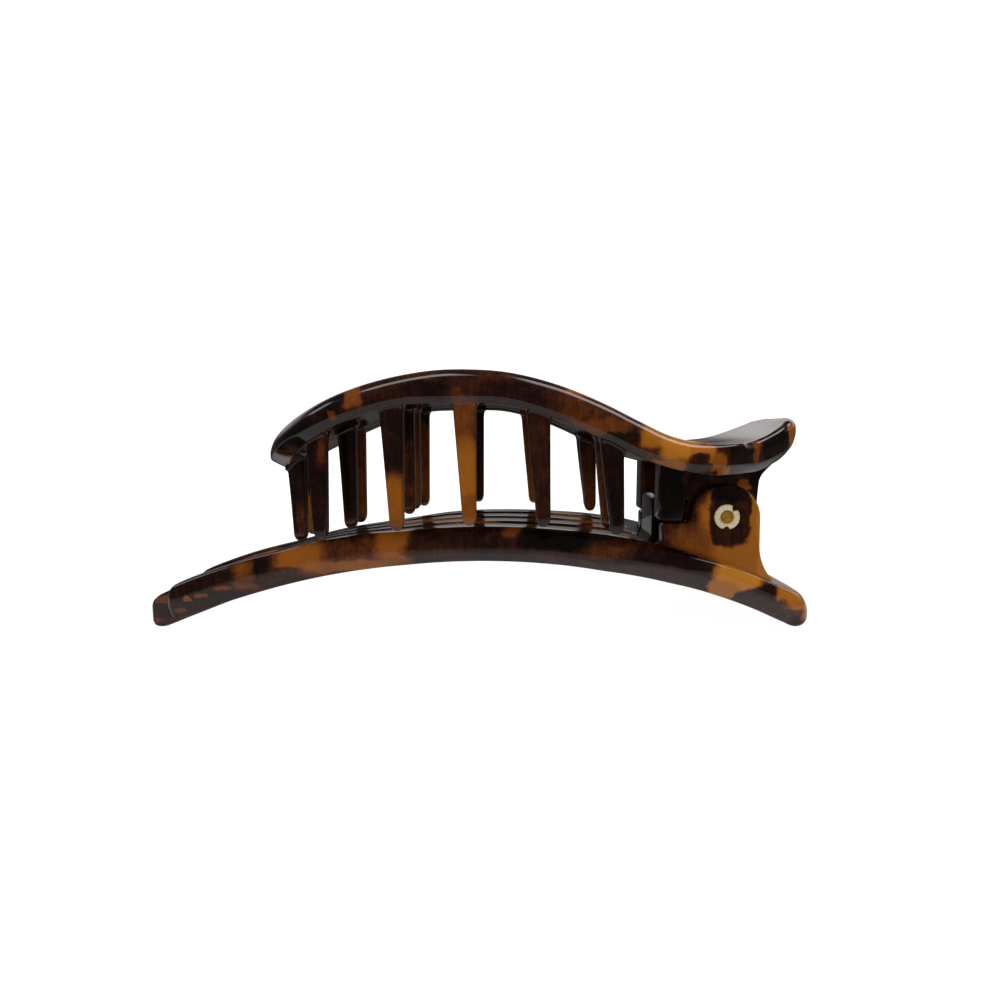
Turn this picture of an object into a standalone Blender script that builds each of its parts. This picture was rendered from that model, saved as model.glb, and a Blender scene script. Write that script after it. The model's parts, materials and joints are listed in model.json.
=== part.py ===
"""A moulded hair clip: two curved jaws on one hinge pin, closed by a torsion spring.

Every size is in millimetres and is measured from the hinge pin's centre:
x towards the thumb tails, y across the clip, z up. The whole clip hangs on one
empty, which is turned until both ends of the lower jaw stand on the ground.
"""
import math

import bmesh
import bpy
import numpy as np

MM = 0.001
REST_TILT = math.radians(2.01)
SMOOTH_ANGLE = math.radians(32.0)

# The upper jaw's plate, one row for each section.
UPPER_COLUMNS = ("x", "top", "under", "half_width")
UPPER_ROWS = (
    (-79.3, 10.6, 5.7, 20.0),
    (-76.0, 13.5, 7.6, 20.0),
    (-73.4, 15.2, 9.8, 20.0),
    (-70.5, 16.85, 11.75, 20.0),
    (-66.5, 18.9, 13.95, 20.0),
    (-61.2, 21.05, 16.3, 20.0),
    (-53.0, 23.2, 18.4, 20.0),
    (-47.8, 23.9, 18.65, 20.0),
    (-42.9, 24.0, 18.7, 20.0),
    (-38.1, 23.7, 18.55, 20.0),
    (-29.7, 21.8, 16.4, 20.0),
    (-21.2, 18.4, 12.7, 20.0),
    (-16.3, 15.95, 10.3, 20.0),
    (-11.4, 13.7, 8.65, 20.0),
    (-6.7, 12.6, 7.7, 20.0),
    (-3.2, 12.3, 7.55, 19.2),
    (0.0, 12.4, 7.6, 17.5),
    (3.7, 12.95, 7.8, 14.8),
    (7.1, 14.15, 8.8, 12.5),
    (10.1, 15.5, 10.2, 10.2),
    (11.7, 16.4, 11.4, 8.5),
    (12.3, 16.7, 12.1, 7.2),
    (12.7, 16.85, 13.0, 5.0),
)
FRONT_ARC_START = -59.2
FRONT_ARC_LENGTH = 20.1
FRONT_ARC_ANGLES = (80.0, 68.0, 56.0, 45.0, 35.0, 25.0, 13.0)
UPPER_SPACING = 4.4
UPPER_TAIL_STATIONS = (-10.0, -7.0, -4.5, -2.0, 0.5, 3.0, 5.5, 8.0, 10.0, 11.5, 12.3, 12.7)
UPPER_CHAMFER = 1.3
FRONT_CHAMFER = 2.5
FRONT_CHAMFER_START = -60.0
FRONT_CHAMFER_LENGTH = 16.0
UPPER_TOP_ROUND = 0.8
UPPER_EDGE_LINE = 0.35
NARROW_HALF_WIDTH = 9.0
END_HALF_THICKNESS = 0.3
HOLLOW_DEPTH = 0.7
HOLLOW_MARGIN = 3.0
HOLLOW_STEP = 0.8
HOLLOW_END_FADE = 4.0
HOLLOW_FRONT = -71.0
HOLLOW_BACK = -14.0

# The lower jaw, one row for each section; the slots follow its half width.
LOWER_COLUMNS = ("x", "top", "under", "half_width")
LOWER_ROWS = (
    (-102.6, -15.6, -21.8, 8.3),
    (-94.2, -11.9, -18.6, 8.3),
    (-86.0, -9.05, -15.6, 8.3),
    (-77.6, -6.9, -13.05, 8.3),
    (-68.9, -4.6, -10.95, 8.5),
    (-60.0, -3.2, -9.35, 9.5),
    (-55.3, -2.65, -8.55, 11.2),
    (-48.0, -1.75, -7.6, 13.1),
    (-38.2, -1.4, -7.2, 14.2),
    (-27.8, -1.8, -7.65, 15.5),
    (-19.3, -2.6, -8.55, 17.0),
    (-10.5, -4.2, -10.25, 18.0),
    (-3.8, -6.3, -11.98, 18.0),
    (0.0, -7.6, -13.28, 18.0),
    (4.0, -9.2, -14.87, 18.0),
    (8.3, -10.95, -16.8, 18.0),
    (10.1, -11.6, -17.6, 17.5),
    (11.2, -12.0, -18.0, 16.7),
    (12.1, -12.35, -18.3, 15.2),
    (13.0, -12.7, -18.45, 12.6),
    (13.8, -13.1, -18.4, 8.0),
)
OUTER_PRONG_END = -97.3
MIDDLE_PRONG_END = -102.6
MIDDLE_PRONG_DROP = 0.75
MIDDLE_DROP_FADE = 34.0
SLOT_END = -15.2
SLOT_HALF_WIDTH_AT = 14.3
CENTRE_SLOT = 1.1
OUTER_SLOT_INNER = 5.5
OUTER_SLOT_OUTER = 8.1
WIDEST_SLOT_SCALE = 1.08
PRONG_ROUND = 1.5
PRONG_DRAW_IN = 0.3
PRONG_END_FALL = 0.8
SLOT_END_DRAW_IN = 0.5
NOSE_MARGIN = 2.5
LOWER_TOP_ROUND = 1.5
LOWER_CHAMFER_WIDTH = 2.1
LOWER_CHAMFER_HEIGHT = 2.5
SLOT_EDGE_ROUND = 0.45
LOWER_SPACING = 5.0
LOWER_TAIL_STATIONS = (-10.5, -7.0, -3.5, 0.0, 3.5, 6.5, 8.7, 10.1, 11.3, 12.3, 13.2, 13.8)

# The teeth, one row for each: the x of its upright back edge, its tip and its row.
TOOTH_COLUMNS = ("back_x", "root_width", "tip_x", "tip_z", "y")
OUTER_ROW_Y = 17.3
CORNER_Y = 13.5
CENTRE_ROW_Y = 3.8
BACK_ROW_Y = 11.8
TOOTH_ROWS = (
    (-66.3, 3.2, -67.7, -3.3, CORNER_Y),
    (-53.2, 3.6, -54.5, -1.4, OUTER_ROW_Y),
    (-41.8, 3.6, -43.0, -0.5, OUTER_ROW_Y),
    (-30.3, 3.6, -31.3, -0.7, OUTER_ROW_Y),
    (-18.8, 3.6, -19.7, -1.8, OUTER_ROW_Y),
    (-72.9, 2.9, -74.1, -5.3, CENTRE_ROW_Y),
    (-63.75, 3.1, -65.0, -3.0, CENTRE_ROW_Y),
    (-53.4, 3.1, -54.5, -0.4, CENTRE_ROW_Y),
    (-19.2, 3.3, -20.2, -1.7, BACK_ROW_Y),
)
TOOTH_TIP_WIDTH = 2.3
TOOTH_ROOT_THICKNESS = 3.0
TOOTH_TIP_THICKNESS = 2.4
TOOTH_FLARE = 0.45
TOOTH_FLARE_HEIGHT = 1.3
TOOTH_CORNER = 0.32
TOOTH_SINK = 1.6
TOOTH_BLUNT_START = 1.5
TOOTH_BLUNT_MIDDLE = 0.45

# The hinge: walls under the upper jaw stand between the ears of the lower jaw.
PIN_RADIUS = 1.2
BORE_RADIUS = 1.5
PIN_FLANGE_RADIUS = 2.175
PIN_FLANGE_INNER = 10.65
PIN_END = 10.95
PIN_RECESS_RADIUS = 1.1
PIN_RECESS_DEPTH = 0.25
WALL_INNER = 5.2
WALL_OUTER = 7.2
WALL_FRONT = -11.0
WALL_FOOT = 2.8
WALL_LOBE_RADIUS = 6.2
WALL_CORNER = 1.6
# Points of the wall's back edge and its hidden top inside the plate, x and z.
WALL_BACK_POINTS = ((6.45, 1.5), (6.6, 5.2), (7.5, 7.3), (9.2, 9.2))
WALL_TOP_POINTS = ((9.3, 12.0), (0.0, 10.2), (-6.0, 10.2), (-11.0, 10.6))
TAB_INNER = 5.8
TAB_OUTER = 10.35
# The stop's outline, anticlockwise from its hidden front top, x and z.
TAB_POINTS = (
    (-11.2, 10.8),
    (-11.2, -0.05),
    (-10.4, -0.85),
    (-7.7, -0.85),
    (-7.2, -0.35),
    (-6.4, 7.2),
    (-6.0, 9.6),
)
EAR_INNER = 7.5
EAR_OUTER = 10.35
EAR_CENTRE = (-0.05, -0.3)
EAR_RADIUS = 5.85
EAR_SHELF = -1.15
# The ear's front, its hidden foot inside the lower jaw and its flared back, x and z.
EAR_POINTS = (
    (-10.7, -1.15),
    (-10.7, -6.0),
    (-5.0, -7.6),
    (0.0, -9.4),
    (8.8, -13.2),
    (8.8, -11.4),
    (7.5, -10.0),
    (6.5, -8.1),
    (5.95, -5.6),
)
POST_FRONT = -11.2
POST_FOOT = ((-11.2, -6.0), (-6.3, -7.2))
POST_BACK = -6.3
POST_TOP = 3.6
POST_HALF_WIDTH = 4.5
POST_ROUND = 1.8

# The torsion spring: a coil round the pin, one long leg and one short one.
WIRE_RADIUS = 0.5
COIL_RADIUS = 3.0
FULL_TURNS = 5
COIL_PITCH = 1.35
COIL_STEPS = 12
WIRE_SIDES = 6
LONG_LEG_END = (9.4, -10.35)
SHORT_LEG_LENGTH = 5.6


def clear_scene():
    for item in list(bpy.data.objects):
        bpy.data.objects.remove(item, do_unlink=True)


def material(name, color, roughness, metallic):
    made = bpy.data.materials.new(name)
    made.use_nodes = True
    shader = made.node_tree.nodes["Principled BSDF"]
    shader.inputs["Base Color"].default_value = (*color, 1.0)
    shader.inputs["Roughness"].default_value = roughness
    shader.inputs["Metallic"].default_value = metallic
    return made


def mesh_object(name, points, faces, parent, finish=None):
    """Makes an object from points in millimetres and faces that point outwards."""
    mesh = bpy.data.meshes.new(name)
    mesh.from_pydata([tuple(float(v) * MM for v in point) for point in points], [], faces)
    mesh.update()
    mesh.shade_smooth()
    mesh.set_sharp_from_angle(angle=SMOOTH_ANGLE)
    made = bpy.data.objects.new(name, mesh)
    bpy.context.collection.objects.link(made)
    made.parent = parent
    if finish:
        mesh.materials.append(finish)
    return made


def guide(made):
    """Marks an object that only adds to or cuts another one."""
    made.hide_render = True
    made.display_type = "WIRE"
    return made


def combine(target, other, operation):
    step = target.modifiers.new(other.name, "BOOLEAN")
    step.operation = operation
    step.object = other
    step.solver = "EXACT"


def column(rows, columns, name):
    return np.array([row[columns.index(name)] for row in rows])


def smooth_value(xs, values, x):
    """Reads a cubic through the rows, with slopes taken from the rows on both sides."""
    x = np.clip(np.asarray(x, float), xs[0], xs[-1])
    slopes = np.gradient(values, xs)
    i = np.clip(np.searchsorted(xs, x, side="right") - 1, 0, len(xs) - 2)
    span = xs[i + 1] - xs[i]
    t = (x - xs[i]) / span
    start = (2 * t**3 - 3 * t**2 + 1) * values[i] + (t**3 - 2 * t**2 + t) * span * slopes[i]
    end = (3 * t**2 - 2 * t**3) * values[i + 1] + (t**3 - t**2) * span * slopes[i + 1]
    return start + end


def upper_value(name, x):
    xs = column(UPPER_ROWS, UPPER_COLUMNS, "x")
    return smooth_value(xs, column(UPPER_ROWS, UPPER_COLUMNS, name), x)


def upper_half_width(x):
    """Half width of the plate: an ellipse at the front, the rows' width behind it."""
    x = np.asarray(x, float)
    reach = np.clip((FRONT_ARC_START - x) / FRONT_ARC_LENGTH, 0.0, 1.0)
    widest = UPPER_ROWS[0][UPPER_COLUMNS.index("half_width")]
    return np.minimum(upper_value("half_width", x), widest) * np.sqrt(1.0 - reach**2)


def lower_value(name, x):
    xs = column(LOWER_ROWS, LOWER_COLUMNS, "x")
    return smooth_value(xs, column(LOWER_ROWS, LOWER_COLUMNS, name), x)


def rounding(distance, radius):
    """How far a rounded edge of this radius has fallen, at a distance in from the edge."""
    short = np.clip(radius - distance, 0.0, radius)
    return radius - np.sqrt(radius**2 - short**2)


def inward_distance(half_width, y, xs, front, back):
    """Distance in from the plan outline, corrected where the outline runs aslant."""
    slope = np.gradient(half_width, xs)[:, None]
    beside = np.maximum(half_width[:, None] - np.abs(y), 0.0) / np.sqrt(1.0 + slope**2)
    to_end = np.minimum(xs - front, back - xs)[:, None]
    return np.minimum(beside, np.maximum(to_end, 0.0))


def slab(name, xs, ys, top, under, solid, parent, finish):
    """Closes a grid of cells between two surfaces; a cell that isn't solid is left open."""
    rows, lines = ys.shape
    points = []
    for heights in (top, under):
        for i in range(rows):
            points += [(xs[i], ys[i, k], heights[i, k]) for k in range(lines)]

    def corner(i, k, layer):
        return layer * rows * lines + i * lines + k

    def is_solid(i, k):
        return 0 <= i < rows - 1 and 0 <= k < lines - 1 and solid[i, k]

    faces = []
    for i in range(rows - 1):
        for k in range(lines - 1):
            if not solid[i, k]:
                continue
            ring = ((i, k), (i + 1, k), (i + 1, k + 1), (i, k + 1))
            faces.append([corner(*spot, 0) for spot in ring])
            faces.append([corner(*spot, 1) for spot in reversed(ring)])
            beside = ((i, k - 1), (i + 1, k), (i, k + 1), (i - 1, k))
            for n, cell in enumerate(beside):
                if not is_solid(*cell):
                    a, b = ring[n], ring[(n + 1) % 4]
                    faces.append([corner(*a, 0), corner(*a, 1), corner(*b, 1), corner(*b, 0)])
    used = sorted({index for face in faces for index in face})
    place = {index: n for n, index in enumerate(used)}
    faces = [[place[index] for index in face] for face in faces]
    return mesh_object(name, [points[index] for index in used], faces, parent, finish)


def prism(name, outline, y_low, y_high, parent):
    """Extrudes an outline in x and z, listed anticlockwise seen from the front, across y."""
    count = len(outline)
    points = [(x, y, z) for y in (y_low, y_high) for x, z in outline]
    faces = [list(range(count)), list(range(2 * count - 1, count - 1, -1))]
    for n in range(count):
        after = (n + 1) % count
        faces.append([n, count + n, count + after, after])
    return guide(mesh_object(name, points, faces, parent))


def lathe(name, profile, sides, parent, finish=None):
    """Turns a profile of (y, radius) rows, low y first, about the pin's axis."""
    points = [(0.0, profile[0][0], 0.0)]
    for y, radius in profile:
        for n in range(sides):
            angle = 2 * math.pi * n / sides
            points.append((radius * math.cos(angle), y, radius * math.sin(angle)))
    points.append((0.0, profile[-1][0], 0.0))
    faces = []
    for n in range(sides):
        after = (n + 1) % sides
        faces.append([0, 1 + n, 1 + after])
        for row in range(len(profile) - 1):
            a, b = 1 + row * sides, 1 + (row + 1) * sides
            faces.append([a + after, a + n, b + n, b + after])
        last = 1 + (len(profile) - 1) * sides
        faces.append([len(points) - 1, last + after, last + n])
    return mesh_object(name, points, faces, parent, finish)


def arc(centre, radius, first, last, steps):
    """Points on a circle in x and z between two angles in degrees."""
    angles = np.radians(np.linspace(first, last, steps + 1))
    return [(centre[0] + radius * math.cos(a), centre[1] + radius * math.sin(a)) for a in angles]


def tooth_points(back_x, root_width, tip_x, tip_z, y, root_z):
    """Rings of one tooth from inside the plate down to its blunt tip."""
    front_x = back_x - root_width
    tip_half = TOOTH_TIP_WIDTH / 2
    # Each level: height, front edge, back edge, half thickness.
    root_half = TOOTH_ROOT_THICKNESS / 2
    end_half = TOOTH_TIP_THICKNESS / 2
    levels = (
        (root_z + TOOTH_SINK, front_x - TOOTH_FLARE, back_x + TOOTH_FLARE, root_half),
        (root_z, front_x - TOOTH_FLARE, back_x + TOOTH_FLARE, root_half),
        (root_z - TOOTH_FLARE_HEIGHT, front_x, back_x, root_half),
        (tip_z + TOOTH_BLUNT_START, tip_x - tip_half, tip_x + tip_half, end_half),
        (tip_z + TOOTH_BLUNT_MIDDLE, tip_x - 0.78 * tip_half, tip_x + 0.78 * tip_half, 0.8 * end_half),
        (tip_z, tip_x - 0.4 * tip_half, tip_x + 0.4 * tip_half, 0.45 * end_half),
    )
    points = []
    for z, front, back, half in levels:
        mid = (front + back) / 2
        reach = (back - front) / 2
        cut = 1.0 - TOOTH_CORNER
        for a, b in ((1, cut), (cut, 1), (-cut, 1), (-1, cut), (-1, -cut), (-cut, -1), (cut, -1), (1, -cut)):
            points.append((mid + reach * a, y + half * b, z))
    return points, len(levels)


def teeth(parent):
    """All the teeth of the upper jaw, each row mirrored to both sides of the clip."""
    points = []
    faces = []
    sides = 8
    for back_x, root_width, tip_x, tip_z, row_y in TOOTH_ROWS:
        for y in (row_y, -row_y):
            root_z = float(upper_value("under", back_x - root_width / 2))
            first = len(points)
            ring, levels = tooth_points(back_x, root_width, tip_x, tip_z, y, root_z)
            points += ring
            faces.append([first + n for n in range(sides)])
            for level in range(levels - 1):
                for n in range(sides):
                    a = first + level * sides + n
                    b = first + level * sides + (n + 1) % sides
                    faces.append([b, a, a + sides, b + sides])
            last = first + (levels - 1) * sides
            faces.append([last + sides - 1 - n for n in range(sides)])
    return guide(mesh_object("teeth", points, faces, parent))


def upper_plate(parent, finish):
    """The thumb tail and the arched plate, hollowed a little underneath."""
    angles = np.radians(FRONT_ARC_ANGLES)
    front = FRONT_ARC_START - FRONT_ARC_LENGTH * np.sin(angles)
    steps = round((UPPER_TAIL_STATIONS[0] - FRONT_ARC_START) / UPPER_SPACING)
    middle = np.linspace(FRONT_ARC_START, UPPER_TAIL_STATIONS[0], steps + 1)[:-1]
    xs = np.concatenate([front, middle, UPPER_TAIL_STATIONS])
    half = upper_half_width(xs)
    # Lines run in from each side: the edge, its round, the chamfer, the lip and the hollow.
    insets = np.array([0.0, UPPER_EDGE_LINE, UPPER_CHAMFER, HOLLOW_MARGIN, HOLLOW_MARGIN + HOLLOW_STEP])
    shrink = np.minimum(half / NARROW_HALF_WIDTH, 1.0)
    right = half[:, None] - insets[None, :] * shrink[:, None]
    centre = np.zeros((len(xs), 1))
    ys = np.concatenate([-right, centre, right[:, ::-1]], axis=1)
    distance = inward_distance(half, ys, xs, xs[0], xs[-1])
    top = upper_value("top", xs)[:, None] - rounding(distance, UPPER_TOP_ROUND)
    growth = np.clip((FRONT_CHAMFER_START - xs) / FRONT_CHAMFER_LENGTH, 0.0, 1.0)
    height = UPPER_CHAMFER + (FRONT_CHAMFER - UPPER_CHAMFER) * growth[:, None]
    chamfer = height * np.clip(1.0 - distance / UPPER_CHAMFER, 0.0, 1.0)
    fade_in = np.clip((xs - HOLLOW_FRONT) / HOLLOW_END_FADE, 0.0, 1.0)
    fade_out = np.clip((HOLLOW_BACK - xs) / HOLLOW_END_FADE, 0.0, 1.0)
    depth = HOLLOW_DEPTH * np.minimum(fade_in, fade_out)[:, None]
    under = upper_value("under", xs)[:, None] + chamfer
    under = under + depth * np.clip((distance - HOLLOW_MARGIN) / HOLLOW_STEP, 0.0, 1.0)
    # At the thin ends the chamfer and the round never meet.
    middle_height = (top + under) / 2
    under = np.minimum(under, middle_height - END_HALF_THICKNESS)
    top = np.maximum(top, middle_height + END_HALF_THICKNESS)
    solid = np.ones((len(xs) - 1, ys.shape[1] - 1), bool)
    return slab("upper_jaw", xs, ys, top, under, solid, parent, finish)


def wall_outline():
    """The hinge wall: a cheek under the plate that ends in a lobe round the pin."""
    lobe_start = math.degrees(math.asin(WALL_FOOT / WALL_LOBE_RADIUS))
    corner = (WALL_FRONT + WALL_CORNER, WALL_FOOT + WALL_CORNER)
    points = arc(corner, WALL_CORNER, 180, 270, 3)
    points += arc((0.0, 0.0), WALL_LOBE_RADIUS, 180 - lobe_start, 350, 14)
    return points + list(WALL_BACK_POINTS + WALL_TOP_POINTS)


def ear_outline():
    """The ear: a shelf in front, a round lobe at the pin and a flared foot behind."""
    reach = math.sqrt(EAR_RADIUS**2 - (EAR_SHELF - EAR_CENTRE[1])**2)
    start = math.degrees(math.atan2(EAR_SHELF - EAR_CENTRE[1], -reach)) % 360
    return list(EAR_POINTS) + arc(EAR_CENTRE, EAR_RADIUS, 0.0, start, 18)


def post_outline():
    """The block in the middle of the lower jaw, in front of the spring."""
    corner = (POST_FRONT + POST_ROUND, POST_TOP - POST_ROUND)
    return [(POST_BACK, POST_TOP)] + arc(corner, POST_ROUND, 90, 180, 4) + list(POST_FOOT)


def bore(name, parent):
    rows = [(-EAR_OUTER - 1.0, BORE_RADIUS), (EAR_OUTER + 1.0, BORE_RADIUS)]
    return guide(lathe(name, rows, 20, parent))


def make_upper_jaw(parent):
    finish = material("upper_jaw_acetate", (0.055, 0.022, 0.008), 0.18, 0.0)
    jaw = upper_plate(parent, finish)
    combine(jaw, teeth(parent), "UNION")
    for side, name in ((-1, "near"), (1, "far")):
        wall = sorted((side * WALL_INNER, side * WALL_OUTER))
        tab = sorted((side * TAB_INNER, side * TAB_OUTER))
        combine(jaw, prism("wall_" + name, wall_outline(), *wall, parent), "UNION")
        combine(jaw, prism("tab_" + name, TAB_POINTS, *tab, parent), "UNION")
    combine(jaw, bore("upper_bore", parent), "DIFFERENCE")
    return jaw


def lower_lines(half):
    """The lines of the lower jaw on one side, from the middle out, for each section."""
    # Past the slots the jaw widens but its lines keep their spacing.
    scale = np.minimum(half / SLOT_HALF_WIDTH_AT, WIDEST_SLOT_SCALE)
    inner = CENTRE_SLOT * scale
    middle_edge = OUTER_SLOT_INNER * scale
    outer_edge = OUTER_SLOT_OUTER * scale
    inset = SLOT_EDGE_ROUND * scale
    chamfer = LOWER_CHAMFER_WIDTH * scale
    lines = (
        inner,
        inner + inset,
        middle_edge - inset,
        middle_edge,
        outer_edge,
        outer_edge + inset,
        half - chamfer,
        half - LOWER_TOP_ROUND * 0.45 * scale,
        half,
    )
    return np.stack(lines, axis=1), scale


def lower_plate(parent, finish):
    """The four prongs and the tail as one slab with three slots open at the front."""
    ends = [MIDDLE_PRONG_END + d for d in (0.0, 0.45, 1.4, 3.2)]
    ends += [OUTER_PRONG_END + d for d in (0.0, 0.45, 1.4)]
    slot_stations = [SLOT_END - d for d in (1.0, 0.35, 0.0)]
    first = OUTER_PRONG_END + 4.5
    steps = round((slot_stations[0] - first) / LOWER_SPACING)
    middle = np.linspace(first, slot_stations[0], steps + 1)[:-1]
    xs = np.concatenate([ends, middle, slot_stations, LOWER_TAIL_STATIONS])
    half = lower_value("half_width", xs)
    half = np.minimum(half, column(LOWER_ROWS, LOWER_COLUMNS, "half_width").max())
    lines, scale = lower_lines(half)
    nose = half < lines[:, 5] + NOSE_MARGIN
    lines[nose] = half[nose, None] * np.linspace(0.1, 1.0, lines.shape[1])[None, :]

    # Round ends in plan: the lines of each prong draw in towards its own middle.
    for first_line, last_line, end in ((0, 3, MIDDLE_PRONG_END), (4, 8, OUTER_PRONG_END)):
        near = np.clip(1.0 - (xs - end) / PRONG_ROUND, 0.0, 1.0)
        near = np.where(xs < end, 0.0, near)
        mid = (lines[:, first_line] + lines[:, last_line]) / 2
        for k in range(first_line, last_line + 1):
            lines[:, k] += (mid - lines[:, k]) * PRONG_DRAW_IN * near**2
    # Round slot ends: the slots' edges draw in over the last millimetre.
    near = np.clip(1.0 - (SLOT_END - xs) / 1.0, 0.0, 1.0) * (xs <= SLOT_END)
    lines[:, 0] -= CENTRE_SLOT * SLOT_END_DRAW_IN * near
    gap_mid = (lines[:, 3] + lines[:, 4]) / 2
    lines[:, 3] += (gap_mid - lines[:, 3]) * SLOT_END_DRAW_IN * near
    lines[:, 4] += (gap_mid - lines[:, 4]) * SLOT_END_DRAW_IN * near

    ys = np.concatenate([-lines[:, ::-1], lines], axis=1)
    count = lines.shape[1]
    top = np.repeat(lower_value("top", xs)[:, None], ys.shape[1], axis=1)
    under = np.repeat(lower_value("under", xs)[:, None], ys.shape[1], axis=1)
    outer = inward_distance(half, ys, xs, -math.inf, xs[-1])
    top -= rounding(outer, LOWER_TOP_ROUND)
    slant = LOWER_CHAMFER_HEIGHT / LOWER_CHAMFER_WIDTH
    under += np.clip(LOWER_CHAMFER_WIDTH * scale[:, None] - outer, 0.0, None) * slant
    # Slot edges and prong ends are rounded as well.
    in_slots = (xs <= SLOT_END)[:, None]
    for k in (0, 3, 4):
        for line in (count + k, count - 1 - k):
            top[:, [line]] -= SLOT_EDGE_ROUND * in_slots
            under[:, [line]] += SLOT_EDGE_ROUND * in_slots
    for k in range(ys.shape[1]):
        side_line = k - count if k >= count else count - 1 - k
        end = MIDDLE_PRONG_END if side_line <= 3 else OUTER_PRONG_END
        from_end = np.where(xs < end, PRONG_ROUND, xs - end)
        top[:, k] -= PRONG_END_FALL * rounding(from_end, PRONG_ROUND)
        under[:, k] += PRONG_END_FALL * rounding(from_end, PRONG_ROUND)
        if side_line <= 3:
            drop = np.clip(1.0 - (xs - MIDDLE_PRONG_END) / MIDDLE_DROP_FADE, 0.0, 1.0)
            top[:, k] -= MIDDLE_PRONG_DROP * drop
            under[:, k] -= MIDDLE_PRONG_DROP * drop

    solid = np.ones((len(xs) - 1, ys.shape[1] - 1), bool)
    for i in range(len(xs) - 1):
        for k in range(ys.shape[1] - 1):
            low = min(k - count if k >= count else count - 2 - k, count - 2)
            is_centre_slot = k == count - 1
            is_outer_slot = low == 3
            is_outer_prong = low >= 4
            if xs[i] < SLOT_END and (is_centre_slot or is_outer_slot):
                solid[i, k] = False
            if xs[i] < OUTER_PRONG_END and is_outer_prong:
                solid[i, k] = False
    return slab("lower_jaw", xs, ys, top, under, solid, parent, finish)


def make_lower_jaw(parent):
    finish = material("lower_jaw_acetate", (0.12, 0.05, 0.014), 0.18, 0.0)
    jaw = lower_plate(parent, finish)
    for side, name in ((-1, "near"), (1, "far")):
        ear = sorted((side * EAR_INNER, side * EAR_OUTER))
        combine(jaw, prism("ear_" + name, ear_outline(), *ear, parent), "UNION")
    post = prism("post", post_outline(), -POST_HALF_WIDTH, POST_HALF_WIDTH, parent)
    combine(jaw, post, "UNION")
    combine(jaw, bore("lower_bore", parent), "DIFFERENCE")
    return jaw


def make_pin(parent):
    """A rolled rivet: a shank with a dished flange outside each ear."""
    finish = material("hinge_pin_brass", (0.72, 0.52, 0.22), 0.25, 1.0)
    face = PIN_END - PIN_RECESS_DEPTH
    half = (
        (face, PIN_RECESS_RADIUS * 0.7),
        (PIN_END, PIN_RECESS_RADIUS),
        (PIN_END, PIN_FLANGE_RADIUS - 0.3),
        (PIN_END - 0.12, PIN_FLANGE_RADIUS),
        (PIN_FLANGE_INNER, PIN_FLANGE_RADIUS),
        (PIN_FLANGE_INNER, PIN_RADIUS),
    )
    profile = [(-y, radius) for y, radius in half] + list(reversed(half))
    return lathe("hinge_pin", profile, 20, parent, finish)


def make_spring(parent):
    """A coil about the pin, with a straight leg at each end."""
    finish = material("torsion_spring_steel", (0.55, 0.55, 0.56), 0.3, 1.0)
    end_x, end_z = LONG_LEG_END
    reach = math.hypot(end_x, end_z)
    # The long leg leaves the coil along its tangent, heading for its resting point.
    leave = math.atan2(end_z, end_x) - math.acos(COIL_RADIUS / reach)
    # The short leg mirrors it, heading for the upper jaw's tail.
    sweep = 2 * math.pi * (FULL_TURNS + 1) + 2 * leave
    turns = sweep / (2 * math.pi)
    count = round(turns * COIL_STEPS)
    path = []
    for n in range(count + 1):
        angle = leave - sweep * n / count
        y = COIL_PITCH * turns * (n / count - 0.5)
        path.append((COIL_RADIUS * math.cos(angle), y, COIL_RADIUS * math.sin(angle)))
    last = leave - sweep
    path.insert(0, (end_x, path[0][1], end_z))
    tail_x = path[-1][0] + SHORT_LEG_LENGTH * math.sin(last)
    tail_z = path[-1][2] - SHORT_LEG_LENGTH * math.cos(last)
    path.append((tail_x, path[-1][1], tail_z))
    return tube("torsion_spring", np.array(path), parent, finish)


def tube(name, path, parent, finish):
    """Sweeps a round wire along a path whose bends all turn about the pin's axis."""
    ahead = np.gradient(path, axis=0)
    ahead /= np.linalg.norm(ahead, axis=1)[:, None]
    across = np.array([0.0, 1.0, 0.0]) - ahead * ahead[:, 1:2]
    across /= np.linalg.norm(across, axis=1)[:, None]
    out = np.cross(ahead, across)
    points = []
    for n in range(WIRE_SIDES):
        angle = 2 * math.pi * n / WIRE_SIDES
        ring = path + WIRE_RADIUS * (math.cos(angle) * across + math.sin(angle) * out)
        points.append(ring)
    points = np.stack(points, axis=1).reshape(-1, 3)
    faces = []
    rows = len(path)
    for i in range(rows - 1):
        for n in range(WIRE_SIDES):
            a, b = i * WIRE_SIDES + n, i * WIRE_SIDES + (n + 1) % WIRE_SIDES
            faces.append([a, b, b + WIRE_SIDES, a + WIRE_SIDES])
    faces.append([WIRE_SIDES - 1 - n for n in range(WIRE_SIDES)])
    faces.append([(rows - 1) * WIRE_SIDES + n for n in range(WIRE_SIDES)])
    made = mesh_object(name, points, faces, parent, finish)
    shape = bmesh.new()
    shape.from_mesh(made.data)
    bmesh.ops.recalc_face_normals(shape, faces=shape.faces)
    shape.to_mesh(made.data)
    shape.free()
    return made


def stand_on_ground(rest, pieces):
    """Moves the clip so that the origin is under the middle of its box."""
    bpy.context.view_layer.update()
    graph = bpy.context.evaluated_depsgraph_get()
    corners = []
    for piece in pieces:
        seen = piece.evaluated_get(graph)
        corners += [seen.matrix_world @ vertex.co for vertex in seen.to_mesh().vertices]
        seen.to_mesh_clear()
    corners = np.array(corners)
    low, high = corners.min(axis=0), corners.max(axis=0)
    rest.location = (-(low[0] + high[0]) / 2, -(low[1] + high[1]) / 2, -low[2])
    bpy.context.view_layer.update()


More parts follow.
